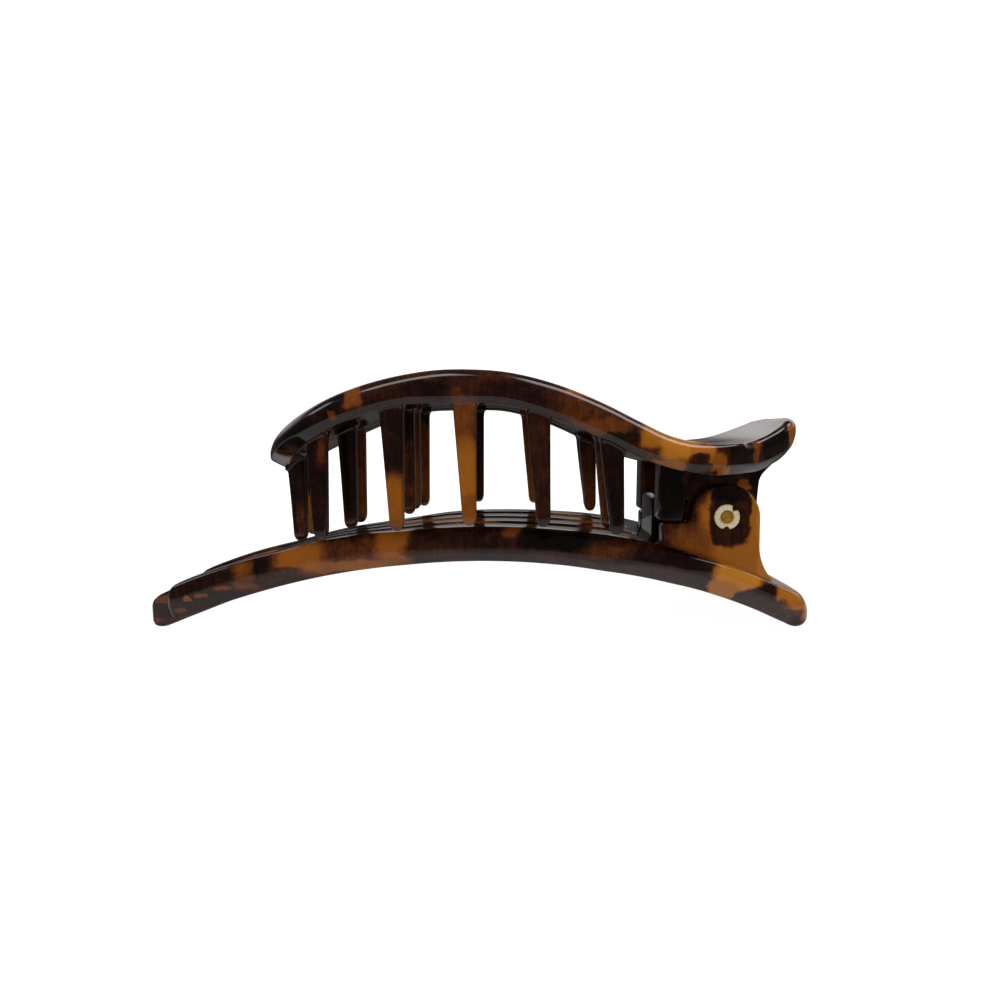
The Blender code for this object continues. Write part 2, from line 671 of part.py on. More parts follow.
def main():
    clear_scene()
    rest = bpy.data.objects.new("rest", None)
    bpy.context.collection.objects.link(rest)
    rest.rotation_euler = (0.0, REST_TILT, 0.0)
    pieces = [make_upper_jaw(rest), make_lower_jaw(rest), make_pin(rest), make_spring(rest)]
    stand_on_ground(rest, pieces)
    print("pin centre", [round(v, 6) for v in rest.matrix_world.translation])


main()
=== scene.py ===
import json
import math
from functools import partial
import bmesh
import bpy
import numpy as np
from mathutils import Matrix, Vector, geometry


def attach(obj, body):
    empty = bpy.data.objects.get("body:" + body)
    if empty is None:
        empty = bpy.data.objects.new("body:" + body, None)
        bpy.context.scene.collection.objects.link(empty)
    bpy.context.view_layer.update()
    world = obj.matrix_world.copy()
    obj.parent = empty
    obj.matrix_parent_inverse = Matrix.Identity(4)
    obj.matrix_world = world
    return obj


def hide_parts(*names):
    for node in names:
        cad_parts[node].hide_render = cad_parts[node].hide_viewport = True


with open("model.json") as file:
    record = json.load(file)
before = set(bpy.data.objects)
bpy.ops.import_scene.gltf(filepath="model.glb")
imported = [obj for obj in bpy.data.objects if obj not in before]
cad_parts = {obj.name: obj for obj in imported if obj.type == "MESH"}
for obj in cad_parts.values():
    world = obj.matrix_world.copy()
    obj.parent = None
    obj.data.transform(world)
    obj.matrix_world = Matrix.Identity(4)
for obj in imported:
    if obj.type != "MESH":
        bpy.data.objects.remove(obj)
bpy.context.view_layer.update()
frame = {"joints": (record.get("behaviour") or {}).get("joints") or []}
mm = 0.001
mergeAt = 0.0004 * mm

# Shapes are worked out in millimetres from the middle of the hinge pin, x towards the thumb tails.
stand = {
    "hinge": np.array(frame["joints"][0]["pos_m"]),
    "tilt": math.radians(2.01),  # how far the clip leans with both ends of the lower jaw on the table
}


def turnToFrame(points):
    # Turn about Y by the tilt: x' = x cos t + z sin t, z' = z cos t - x sin t
    points = np.asarray(points, float)
    c, s = math.cos(stand["tilt"]), math.sin(stand["tilt"])
    x, y, z = np.moveaxis(points, -1, 0)
    return np.stack([x * c + z * s, y, z * c - x * s], axis=-1)


def toFrame(points):
    # The turned point in metres, moved to the hinge
    return turnToFrame(points) * mm + stand["hinge"]


def readRows(table, name, x):
    # Cubic through the rows of a table: each slope is taken from the rows on both sides
    xs, values = np.array(table["x"], float), np.array(table[name], float)
    x = np.clip(np.asarray(x, float), xs[0], xs[-1])
    slopes = np.gradient(values, xs)
    i = np.clip(np.searchsorted(xs, x, side="right") - 1, 0, len(xs) - 2)
    span = xs[i + 1] - xs[i]
    t = (x - xs[i]) / span
    start = (2 * t**3 - 3 * t**2 + 1) * values[i] + (t**3 - 2 * t**2 + t) * span * slopes[i]
    end = (3 * t**2 - 2 * t**3) * values[i + 1] + (t**3 - t**2) * span * slopes[i + 1]
    return start + end


def halfAt(table, x):
    # Half width from the rows, which the cubic must not carry past the widest of them
    return np.minimum(readRows(table, "halfWidth", x), max(table["halfWidth"]))


def quarter(u):
    # Fall of a quarter circle of radius 1 at a distance u in from its edge: 1 - sqrt(1 - (1 - u)^2)
    return 1 - np.sqrt(np.clip(1 - (1 - np.clip(u, 0, 1)) ** 2, 0, 1))


def smoothStep(low, high, x):
    # 3 t^2 - 2 t^3 from low to high
    t = np.clip((x - low) / (high - low), 0, 1)
    return t * t * (3 - 2 * t)


def resample(points, spacing):
    # Points at even steps along a polyline
    points = np.asarray(points, float)
    run = np.concatenate([[0], np.cumsum(np.linalg.norm(np.diff(points, axis=0), axis=1))])
    keep = np.concatenate([[True], np.diff(run) > 1e-9])
    count = max(2, round(run[-1] / spacing) + 1)
    at = np.linspace(0, run[-1], count)
    return np.stack([np.interp(at, run[keep], points[keep, k]) for k in range(points.shape[1])], axis=1)


def inwardNormals(loop):
    # Turned central difference along a closed plan loop, pointed inwards by the sign of the loop's area
    ahead = np.roll(loop, -1, axis=0) - np.roll(loop, 1, axis=0)
    ahead /= np.linalg.norm(ahead, axis=1)[:, None]
    after = np.roll(loop, -1, axis=0)
    area = np.sum(loop[:, 0] * after[:, 1] - after[:, 0] * loop[:, 1])
    return np.stack([-ahead[:, 1], ahead[:, 0]], axis=1) * (1 if area > 0 else -1)


def gridFaces(rows, around, first=0):
    # Quads between closed rows of points
    i, k = np.meshgrid(np.arange(rows - 1), np.arange(around), indexing="ij")
    a, b = i * around + k, i * around + (k + 1) % around
    return (np.stack([a, b, b + around, a + around], axis=-1).reshape(-1, 4) + first).tolist()


def addObject(name, data):
    made = bpy.data.objects.new(name, data)
    bpy.context.scene.collection.objects.link(made)
    return made


def makePiece(name, points, faces):
    # A piece from millimetre points; doubles at seams and poles are merged and the faces turned outwards
    mesh = bpy.data.meshes.new(name)
    mesh.from_pydata(toFrame(points.reshape(-1, 3)).tolist(), [], faces)
    shape = bmesh.new()
    shape.from_mesh(mesh)
    bmesh.ops.remove_doubles(shape, verts=shape.verts, dist=mergeAt)
    bmesh.ops.dissolve_degenerate(shape, edges=shape.edges, dist=mergeAt / 2)
    bmesh.ops.recalc_face_normals(shape, faces=shape.faces)
    if shape.calc_volume(signed=True) < 0:
        bmesh.ops.reverse_faces(shape, faces=shape.faces)
    shape.to_mesh(mesh)
    shape.free()
    return addObject(name, mesh)


def cappedPiece(name, points):
    # Closed rows of points joined by quads, with a face across the first row and one across the last
    rows, around = points.shape[:2]
    ends = [list(range(around)), list(range((rows - 1) * around, rows * around))]
    return makePiece(name, points, gridFaces(rows, around) + ends)


def finishPiece(piece, cutters, surface, sharpAngle=33):
    # Joins or cuts the piece with the others, then keeps the result as a plain mesh with its finish
    for other, operation in cutters:
        step = piece.modifiers.new(other.name, "BOOLEAN")
        step.operation, step.object, step.solver = operation, other, "EXACT"
    graph = bpy.context.evaluated_depsgraph_get()
    mesh = bpy.data.meshes.new_from_object(piece.evaluated_get(graph))
    piece.modifiers.clear()
    piece.data = mesh
    mesh.name = piece.name
    for other, _ in cutters:
        bpy.data.objects.remove(other, do_unlink=True)
    mesh.materials.clear()
    mesh.materials.append(surface)
    mesh.shade_smooth()
    mesh.set_sharp_from_angle(angle=math.radians(sharpAngle))
    return piece


def roundCorners(corners, step=0.35, straight=math.radians(178)):
    # Closed outline through corners (x, z, radius): each corner is an arc that touches both of its sides
    table = np.array(corners, float)
    points, radii = table[:, :2], table[:, 2]
    out = []
    for n in range(len(points)):
        before, here, after = points[n - 1], points[n], points[(n + 1) % len(points)]
        a, b = before - here, after - here
        a, b = a / np.linalg.norm(a), b / np.linalg.norm(b)
        angle = math.acos(max(-1.0, min(1.0, float(a @ b))))
        if radii[n] <= 0 or angle > straight:
            out.append(here[None, :])
            continue
        reach = radii[n] / math.tan(angle / 2)
        middle = here + (a + b) / np.linalg.norm(a + b) * radii[n] / math.sin(angle / 2)
        first, last = here + a * reach - middle, here + b * reach - middle
        turn = math.atan2(first[0] * last[1] - first[1] * last[0], float(first @ last))
        count = max(3, round(abs(turn) * radii[n] / step) + 2)
        t = np.linspace(0, turn, count)
        out.append(middle + np.column_stack([first[0] * np.cos(t) - first[1] * np.sin(t),
                                             first[0] * np.sin(t) + first[1] * np.cos(t)]))
    loop = np.concatenate(out)
    gap = np.linalg.norm(loop - np.roll(loop, 1, axis=0), axis=1)
    return loop[gap > 0.02]


def roundedPrism(name, outline, low, high, edge):
    # An x-z outline carried across y; near both ends it draws in along a quarter circle of radius edge
    normals = inwardNormals(outline)
    t = np.linspace(0, math.pi / 2, 6)
    inset = np.concatenate([edge * (1 - np.sin(t)), edge * (1 - np.sin(t[::-1]))])
    across = np.concatenate([low + edge * (1 - np.cos(t)), high - edge * (1 - np.cos(t[::-1]))])
    flat = outline[None] + normals[None] * inset[:, None, None]
    y = np.broadcast_to(across[:, None], flat.shape[:2])
    return cappedPiece(name, np.stack([flat[..., 0], y, flat[..., 1]], axis=-1))


def turnedPiece(name, profile, sides, wobble=None):
    # A profile of (y, radius) turned about the pin's axis; wobble(radius, angle) may lessen the radius
    t = np.linspace(0, 2 * math.pi, sides, endpoint=False)
    y, radius = [profile[:, k][:, None] * np.ones(sides)[None] for k in (0, 1)]
    if wobble is not None:
        radius = wobble(radius, t)
    return cappedPiece(name, np.stack([radius * np.cos(t), y, radius * np.sin(t)], axis=-1))


def hexColor(text):
    # sRGB hex to linear: c / 12.92 below 0.04045, else ((c + 0.055) / 1.055) ^ 2.4
    value = np.array([int(text[k:k + 2], 16) for k in (1, 3, 5)]) / 255
    linear = np.where(value <= 0.04045, value / 12.92, ((value + 0.055) / 1.055) ** 2.4)
    return (*linear.tolist(), 1.0)


def fillInputs(node, inputs):
    # Values for a node's first sockets in order, or by name; a node stands for its own first output
    for key, value in inputs.items() if isinstance(inputs, dict) else enumerate(inputs):
        if isinstance(value, bpy.types.Node):
            value = value.outputs[0]
        if isinstance(value, bpy.types.NodeSocket):
            node.id_data.links.new(value, node.inputs[key])
        else:
            node.inputs[key].default_value = value


def addNode(tree, kind, inputs=(), stops=(), **settings):
    # One shader node; settings are its properties, and stops the places and colours of a ramp
    node = tree.nodes.new("ShaderNode" + kind)
    for key, value in settings.items():
        setattr(node, key, value)
    for n, (place, color) in enumerate(stops):
        band = node.color_ramp.elements
        stop = band[n] if n < 2 else band.new(place)
        stop.position, stop.color = place, hexColor(color)
    fillInputs(node, inputs)
    return node


def newMaterial(name):
    made = bpy.data.materials.new(name)
    made.use_nodes = True
    add = partial(addNode, made.node_tree)
    return made, add, made.node_tree.nodes["Principled BSDF"], add("TexCoord").outputs["Object"]


acetate = {
    "shades": (  # from the black-brown blotches to the clear honey between them
        (0.0, "#050202"), (0.15, "#0e0504"), (0.3, "#220e08"), (0.45, "#3e1c0c"),
        (0.6, "#6a3713"), (0.75, "#935317"), (0.88, "#aa671d"), (1.0, "#c3832b"),
    ),
    "warps": ((4.0, 2.5, 2.0), (0.8, 1.0, 4.0)),  # size and reach in mm, detail: wavy, then feathered
    "noises": {  # size in mm, the noise's range that counts, what it becomes, detail and seed
        "cloud": (7.0, 0.34, 0.66, 0.2, 0.44, 4.0, 3.0),  # how honey the sheet is between the patches
        "blotch": (15.0, 0.53, 0.6, 0.0, 1.0, 1.0, 7.0),  # honey blotches on the inner and far sides
        "mottle": (1.6, 0.3, 0.7, -0.1, 0.1, 6.0, 11.0),  # specks and small clouds inside the patches
        "polish": (6.0, 0.34, 0.66, 0.08, 0.17, 6.0, 0.0),  # roughness, with duller places
    },
    "blotchFrom": (-13.0 * mm, -4.0 * mm),  # y over which the blotches set in
    "blotchHoney": 0.76,
    "softness": 1.5,  # of all borders together
    "grain": {"Scale": (1 / (0.5 * mm), 1 / (0.5 * mm), 1 / (4.5 * mm))},  # dark, drawn out along the teeth
    "grainLevels": (0.3, 0.7, -0.055, 0.055),
    "clearHoney": (0.4, 0.8, 1.0, 0.15),  # specks and grain fade over these shades, to this amount
    "ripple": {"Scale": 1 / (2.2 * mm), "Detail": 2.0},  # the slight waviness that polishing leaves
    "rippleBump": {"Strength": 0.35, "Distance": 0.02 * mm},
    "finish": {"IOR": 1.5, "Subsurface Weight": 0.25, "Subsurface Radius": (1.0, 0.4, 0.1),
               "Subsurface Scale": 1.6 * mm},
}


def paintPatches(add, place, value, patches):
    # A patch covers what lies where ((p - c) / r)^2 has a length below 1, which gives squarish blobs
    for x, y, z, rx, ry, rz, honey, soft in patches:
        soft = soft * acetate["softness"]
        centre = toFrame((x, y, z))
        radii = np.array([rx, ry, rz]) * mm
        near = add("Mapping", {"Vector": place, "Location": (-centre / radii).tolist(),
                               "Scale": (1 / radii).tolist()})
        square = add("VectorMath", (near, near), operation="MULTIPLY")
        size = add("VectorMath", (square,), operation="LENGTH").outputs["Value"]
        cover = add("MapRange", (size, 1 + soft, 1 - soft), interpolation_type="SMOOTHSTEP")
        value = add("Mix", {"Factor": cover, "A": value, "B": honey})
    return value


def tortoiseshell(name, patches, seed):
    # Tortoiseshell cellulose acetate: dark brown and honey sheets pressed together, under a glossy skin
    made, add, shader, spot = newMaterial(name)
    place = spot
    for size, reach, detail in acetate["warps"]:
        noise = add("TexNoise", {"Vector": spot, "Scale": 1 / (size * mm), "Detail": detail,
                                 "Roughness": 0.62, "W": seed}, noise_dimensions="4D")
        shift = add("VectorMath", (noise.outputs["Color"], (0.5, 0.5, 0.5)), operation="SUBTRACT")
        shift = add("VectorMath", {0: shift, "Scale": reach * mm}, operation="SCALE")
        place = add("VectorMath", (place, shift), operation="ADD")
    noises = {}
    for key, (size, *levels, detail, offset) in acetate["noises"].items():
        where = spot if key == "polish" else place
        noise = add("TexNoise", {"Vector": where, "Scale": 1 / (size * mm), "Detail": detail,
                                 "Roughness": 0.6, "W": seed + offset}, noise_dimensions="4D")
        noises[key] = add("MapRange", (noise, *levels))

    # Between the patches: clouded brown, with coarse honey blotches on the inner and far sides.
    apart = add("SeparateXYZ", (spot,))
    inner = add("MapRange", (apart.outputs["Y"], *acetate["blotchFrom"]))
    blotch = add("Math", (noises["blotch"], inner), operation="MULTIPLY")
    value = add("Mix", {"Factor": blotch, "A": noises["cloud"], "B": acetate["blotchHoney"]})
    value = paintPatches(add, place, value, patches)
    grain = add("Mapping", {"Vector": spot, **acetate["grain"]})
    grain = add("TexNoise", {"Vector": grain, "Scale": 1.0, "Detail": 3.0})
    grain = add("MapRange", (grain, *acetate["grainLevels"]))
    fade = add("MapRange", (value, *acetate["clearHoney"]))
    rough = add("Math", (noises["mottle"], grain), operation="ADD")
    value = add("Math", (rough, fade, value), operation="MULTIPLY_ADD")
    ripple = add("TexNoise", {"Vector": spot, **acetate["ripple"]})
    fillInputs(shader, {
        "Base Color": add("ValToRGB", (value,), acetate["shades"]),
        "Roughness": noises["polish"],
        "Normal": add("Bump", {"Height": ripple, **acetate["rippleBump"]}),
        **acetate["finish"],
    })
    return made


brass = {
    "speck": {"Scale": 1 / (0.5 * mm), "Detail": 5.0},  # tarnish and tool marks
    "speckAmount": 0.35,
    "rolled": (10.3 * mm, 10.95 * mm, 0.05, 0.75),  # out along the pin, and the shades from the painted shade in the hollow to the painted highlight on the crest
    # the palest of these shades are the painted highlight along the crest
    "shades": ((0.2, "#a57c2e"), (0.45, "#e0b455"), (0.7, "#ffe391"), (0.95, "#fff6dc")),
    "roughness": (0.3, 0.7, 0.2, 0.36),  # from the specks
    "dent": {"Strength": 0.3, "Distance": 0.02 * mm},
    "finish": {"Metallic": 0.35},  # low: the dark room in front would show black in it
}


def rolledBrass():
    # Thin brass rolled over by a rivet set: bright, with fine tool marks and specks of tarnish, painted
    # shade in its hollows and a painted highlight along its crest
    made, add, shader, spot = newMaterial("rolled brass")
    noise = add("TexNoise", {"Vector": spot, **brass["speck"]})
    apart = add("SeparateXYZ", (spot,))
    out = add("Math", (apart.outputs["Y"],), operation="ABSOLUTE")
    # painted shade down in the hollow, rising to a painted highlight on the crest of the flange
    rolled = add("MapRange", (out, *brass["rolled"]))
    speck = add("Math", (noise, brass["speckAmount"], rolled), operation="MULTIPLY_ADD")
    fillInputs(shader, {
        "Base Color": add("ValToRGB", (speck,), brass["shades"]),
        "Roughness": add("MapRange", (noise, *brass["roughness"])),
        "Normal": add("Bump", {"Height": noise, **brass["dent"]}),
        **brass["finish"],
    })
    return made


steel = {
    "lines": {"Scale": 1 / (0.3 * mm), "Detail": 4.0},
    "shades": ((0.3, "#8d8f92"), (0.7, "#c3c5c8")),
    "finish": {"Roughness": 0.28, "Metallic": 1.0},
}


def springSteel():
    # Drawn spring steel wire: grey, with fine lines from the die
    made, add, shader, spot = newMaterial("drawn spring steel")
    noise = add("TexNoise", {"Vector": spot, **steel["lines"]})
    fillInputs(shader, {"Base Color": add("ValToRGB", (noise,), steel["shades"]), **steel["finish"]})
    return made


view = {
    "eye": (0.0, -119.45, 0.0),  # mm from the point below
    "origin": (37.2, 0.0, -14.6),  # where the hinge lies from that point
    "pitch": 6.15, "yaw": 0.53, "lens": 23.4, "sensor": 36.0, "nearest": 0.005,
}


def addCamera():
    # Eye and axes are level with the lower jaw's own frame, so they take the same turn as the clip
    pitch, yaw = math.radians(view["pitch"]), math.radians(view["yaw"])
    right = np.array([math.cos(yaw), math.sin(yaw), 0.0])
    ahead = np.array([-math.sin(yaw) * math.cos(pitch), math.cos(yaw) * math.cos(pitch), -math.sin(pitch)])
    up = np.cross(right, ahead)
    axes = turnToFrame(np.stack([right, up, -ahead]))
    eye = toFrame(np.array(view["eye"]) - np.array(view["origin"]))
    data = bpy.data.cameras.new("camera")
    data.lens, data.sensor_width, data.clip_start = view["lens"], view["sensor"], view["nearest"]
    camera = addObject("camera", data)
    camera.matrix_world = Matrix.Translation(Vector(eye)) @ Matrix(axes.T.tolist()).to_4x4()
    bpy.context.scene.camera = camera


addCamera()
print("camera placed")

upperJaw = {
    "x": (-79.3, -76, -73.4, -70.5, -66.5, -61.2, -53, -47.8, -42.9, -38.1, -29.7, -21.2,
          -16.3, -11.4, -6.7, -3.2, 0, 3.7, 7.1, 10.1, 11.7, 12.3, 12.7),
    "top": (10.6, 13.5, 15.2, 16.85, 18.9, 21.05, 23.2, 23.9, 23.99, 23.7, 21.8, 18.4,
            15.95, 13.7, 12.65, 12.4, 12.58, 13.2, 14.5, 16.1, 17.1, 17.45, 17.6),
    "under": (5.7, 7.6, 9.8, 11.75, 13.95, 16.3, 18.4, 18.65, 18.7, 18.55, 16.4, 12.7,
              10.3, 8.65, 7.7, 7.55, 7.6, 7.8, 8.8, 10.2, 11.4, 12.1, 13.0),
    "halfWidth": (20,) * 15 + (19.2, 17.5, 14.8, 12.5, 10.2, 8.5, 7.2, 5),
    "noseMiddle": -59.2,
    "noseLength": 20.1,
    "spineEnds": (-59.2, 7.6),
    "spacing": 0.5,
    "topRows": (-79.3, -72, -61, 12.7),
    "topRound": ((1.4, 1.7, 3.1, 3.1), (1.3, 1.7, 3.3, 3.3)),  # inset and fall of the broad rounding
    "tailRound": (0.6, 0.6),  # of the crisper edge along the tail
    "endRound": (2.5, 2.6),  # and round the tail's end
    "tailFrom": (-9.0, -1.0),
    "endFrom": 0.0,
    "chamferRows": ((-79.3, -74, -70, -62, -48, -30, -16, -5, 12.7),
                    (3.8, 2.9, 1.9, 1.15, 1.0, 1.0, 1.25, 1.6, 1.7)),
    "chamferSlope": 0.95,  # width as a share of the height
    "endRadius": 2.3,
    "leastSlant": 0.55,
    "leastWall": 0.5,  # mm of upright wall that stays between the edge's two profiles
    "fineFrom": 9.0,  # x from which the outline's points stand closer
    "hollow": {  # of the underside, its wall from start to end inside the plate's edge
        "depth": 0.7, "start": 3.0, "end": 3.8, "past": 0.1, "front": -71.0, "back": -14.0, "fade": 4.0,
        "rows": (0.35, 0.62, 0.7, 0.76, 0.82, 0.88, 0.94, 1.0),
    },
    "innerRows": 13,
}
# Edge profiles in (inset, height) shares: a chamfer with two slightly soft creases, and a quarter circle.
chamferCurve = np.array([(0, 1.06), (0.008, 1.03), (0.03, 0.985), (0.075, 0.93), (0.22, 0.78), (0.5, 0.5),
                         (0.9, 0.1), (0.96, 0.045), (1.01, 0.014), (1.06, 0)])
roundTurn = np.linspace(0, math.pi / 2, len(chamferCurve))
roundCurve = np.column_stack([1 - np.cos(roundTurn), 1 - np.sin(roundTurn)])
roundSteps = np.array([0, 0.012, 0.05, 0.12, 0.22, 0.36, 0.52, 0.72, 0.86, 1.0])
endFacing = (0.35, 0.9)  # how much an edge faces the thumb as it changes to the round of the tail's end


def plateOutline(jaw):
    # Plan of the plate: an ellipse at the nose, the rows' half width, and a straight edge across the tail
    middle, fine, tail = jaw["noseMiddle"], jaw["fineFrom"], jaw["x"][-1]
    t = np.linspace(0, math.pi / 2, 200, endpoint=False)
    nose = np.column_stack([middle - jaw["noseLength"] * np.cos(t), -jaw["halfWidth"][0] * np.sin(t)])
    x = np.concatenate([np.linspace(middle, fine, 400, endpoint=False), np.linspace(fine, tail, 200)])
    side = np.column_stack([x, -halfAt(jaw, x)])
    end = np.column_stack([np.full(12, tail), np.linspace(side[-1, 1], 0, 12)])[1:]
    near = resample(np.concatenate([nose, side, end]), jaw["spacing"])
    near[0, 1] = near[-1, 1] = 0.0
    far = near[-2:0:-1] * np.array([1, -1])
    return np.concatenate([near, far])


def upperPlate(jaw):
    # Rings of the outline drawn in towards a middle line: over the top, round the edge and back underneath
    loop = plateOutline(jaw)
    x = loop[:, 0]
    normals = inwardNormals(loop)
    radius, hollow = jaw["endRadius"], jaw["hollow"]
    spine = np.column_stack([np.clip(x, *jaw["spineEnds"]), 0 * x])
    reach = np.linalg.norm(spine - loop, axis=1)
    towards = (spine - loop) / reach[:, None]
    slant = np.clip(np.sum(towards * normals, axis=1), jaw["leastSlant"], 1)
    thickness = readRows(jaw, "top", x) - readRows(jaw, "under", x)
    height = np.interp(x, *jaw["chamferRows"])
    tail = smoothStep(*jaw["tailFrom"], x)
    end = smoothStep(*endFacing, -normals[:, 0]) * (x > jaw["endFrom"])
    edge, topFall = [(np.interp(x, jaw["topRows"], jaw["topRound"][k]) * (1 - tail)
                      + jaw["tailRound"][k] * tail) * (1 - end) + jaw["endRound"][k] * end for k in (0, 1)]
    needed = topFall + chamferCurve[0, 1] * (height * (1 - end) + radius * end)
    room = np.clip((thickness - jaw["leastWall"]) / needed, 0, 1)
    rings = []

    def addRing(inset, name, rise=0, hollow=None):
        flat = loop + towards * np.minimum(inset / slant, reach)[:, None]
        if hollow:
            fade = np.minimum(smoothStep(0, hollow["fade"], flat[:, 0] - hollow["front"]),
                              smoothStep(0, hollow["fade"], hollow["back"] - flat[:, 0]))
            rise = hollow["depth"] * fade * smoothStep(hollow["start"], hollow["end"], inset)
        rings.append(np.column_stack([flat, readRows(jaw, name, flat[:, 0]) + rise]))

    shares = np.linspace(0, 1, jaw["innerRows"] + 1)[1:]
    for share in shares[::-1]:
        addRing(edge + (reach * slant - edge) * share, "top")
    for u in roundSteps[::-1]:
        addRing(u * edge, "top", -topFall * room * quarter(u))
    for (u, v), (roundU, roundV) in zip(chamferCurve, roundCurve):
        inset = (u * jaw["chamferSlope"] * height * (1 - end) + roundU * radius * end) * room
        addRing(inset, "under", (v * height * (1 - end) + roundV * radius * end) * room)
    edge = hollow["end"] + hollow["past"]
    for share in hollow["rows"]:
        addRing(inset * (1 - share) + edge * share, "under", hollow=hollow)
    for share in shares:
        addRing(edge + (np.maximum(reach * slant, edge) - edge) * share, "under", hollow=hollow)
    return makePiece("upper_jaw_shell", np.stack(rings), gridFaces(len(rings), len(loop)))


teeth = {
    "rows": (
        # one for each pair: x of the upright back edge, root width, tip x, tip z, y
        (-66.3, 3.2, -67.7, -3.3, 13.5), (-53.2, 3.6, -54.5, -1.4, 17.3), (-41.8, 3.6, -43, -0.5, 17.3),
        (-30.3, 3.6, -31.3, -0.7, 17.3), (-18.8, 3.6, -19.7, -1.8, 17.3), (-72.9, 2.9, -74.1, -5.3, 3.8),
        (-63.75, 3.1, -65, -3, 3.8), (-53.4, 3.1, -54.5, -0.4, 3.8), (-19.2, 3.3, -20.2, -1.7, 11.8),
    ),
    "tipWidth": 2.3,
    "rootThickness": 3.0,
    "tipThickness": 2.4,
    "tipLength": 1.9,
    "tipPower": 2.4,  # exponent of the round of the tip
    "flare": 0.5,
    "flareAcross": 0.6,  # share of it across the clip
    "flareHeight": 1.4,
    "flareSteps": (0.08, 0.2, 0.36, 0.55, 0.77, 1.0),
    "sink": 1.5,
    "follow": 6.0,  # mm down over which the sections level out from the plate's slope
    "squareness": 4.6,  # exponent of the rounded square section
    "around": 40,
}


def toothRows(jaw, teeth):
    # A tooth is a rounded square |a|^n + |b|^n = 1 carried down: a flared root, an even taper, a round tip
    rows = np.array(teeth["rows"])
    rows = np.concatenate([rows, rows * np.array([1, 1, 1, 1, -1])])
    backX, rootWidth, tipX, tipZ, y = [rows[:, k][:, None, None] for k in range(5)]
    t = np.linspace(0, 2 * math.pi, teeth["around"], endpoint=False) + math.pi / teeth["around"]
    a, b = [np.sign(wave) * np.abs(wave) ** (2 / teeth["squareness"]) for wave in (np.cos(t), np.sin(t))]
    rootZ = readRows(jaw, "under", backX - rootWidth / 2)
    length = rootZ - tipZ
    flareHeight, tipLength, power = teeth["flareHeight"], teeth["tipLength"], teeth["tipPower"]
    taper = length - tipLength - flareHeight
    root = np.concatenate([[-teeth["sink"], 0.0], flareHeight * np.array(teeth["flareSteps"])])
    body = flareHeight + taper * np.linspace(0, 1, 15)[None, 1:, None]
    tip = (length - tipLength) + tipLength * np.sin(np.linspace(0, math.pi / 2, 10))[None, 1:, None]
    down = np.concatenate([root[None, :, None] + 0 * length, body, tip], axis=1)
    share = np.clip((down - flareHeight) / taper, 0, 1)
    close = np.clip((down - (length - tipLength)) / tipLength, 0, 1)
    close = np.clip(1 - close ** power, 0, 1) ** (1 / power)
    front = (backX - rootWidth) * (1 - share) + (tipX - teeth["tipWidth"] / 2) * share
    back = backX * (1 - share) + (tipX + teeth["tipWidth"] / 2) * share
    half = (teeth["rootThickness"] * (1 - share) + teeth["tipThickness"] * share) / 2
    flare = teeth["flare"] * quarter(np.clip(down, 0, None) / flareHeight)
    x = (front + back) / 2 + ((back - front) / 2 * close + flare) * a
    acrossY = y + (half * close + flare * teeth["flareAcross"]) * b
    follow = np.clip(1 - (down - flareHeight) / teeth["follow"], 0, 1)
    z = readRows(jaw, "under", x) * follow + rootZ * (1 - follow) - down
    points = np.stack([x, acrossY, z], axis=-1)
    count, levels, around = points.shape[:3]
    faces = []
    for n in range(count):
        first = n * levels * around
        faces += gridFaces(levels, around, first)
        faces.append(list(range(first, first + around)))
    return makePiece("teeth", points, faces)


hingeWalls = {
    "wallAcross": (5.2, 7.2),
    "wallCorners": ((-11.0, 10.4, 0), (-11.0, 2.8, 1.6), (-6.1, 2.8, 0.7)),
    "wallLobe": {"radius": 6.2, "first": 158, "last": 352},
    "wallBack": ((6.6, 6.6, 3.5), (10.6, 10.7, 0), (10.4, 12.4, 0), (0.0, 10.2, 0), (-6.0, 10.2, 0)),
    "stopAcross": (5.8, 10.35),
    "stopCorners": ((-11.2, 10.6, 0), (-11.2, -0.85, 0.7), (-7.35, -0.85, 0.45), (-6.5, 6.5, 0),
                    (-5.9, 9.4, 0)),
    "edge": 0.35,
    "boreRadius": 1.5,
    "boreReach": 11.5,
}


def arcCorners(centre, arc):
    # Corners without a radius along an arc in degrees
    t = np.radians(np.linspace(arc["first"], arc["last"], 40))
    x, z = centre[0] + arc["radius"] * np.cos(t), centre[1] + arc["radius"] * np.sin(t)
    return np.stack([x, z, 0 * t], axis=1).tolist()


def bothSides(name, outline, across, edge):
    # One prism from across[0] to across[1], and its mirror image
    near = roundedPrism(name + "_near", outline, -across[1], -across[0], edge)
    far = roundedPrism(name + "_far", outline, across[0], across[1], edge)
    return [(near, "UNION"), (far, "UNION")]


def boreCutter():
    # A plain cylinder through both walls or ears
    reach, radius = hingeWalls["boreReach"], hingeWalls["boreRadius"]
    return turnedPiece("bore", np.array([(-reach, radius), (reach, radius)]), 64), "DIFFERENCE"


def buildUpperJaw(jaw, teeth, walls, surface):
    # Plate, teeth, walls and stops in one piece, bored for the pin
    piece = upperPlate(jaw)
    parts = [(toothRows(jaw, teeth), "UNION")]
    wall = list(walls["wallCorners"]) + arcCorners((0, 0), walls["wallLobe"]) + list(walls["wallBack"])
    parts += bothSides("wall", roundCorners(wall), walls["wallAcross"], walls["edge"])
    parts += bothSides("stop", roundCorners(walls["stopCorners"]), walls["stopAcross"], walls["edge"])
    parts.append(boreCutter())
    piece.name = "upper_jaw_moulding"
    return finishPiece(piece, parts, surface)


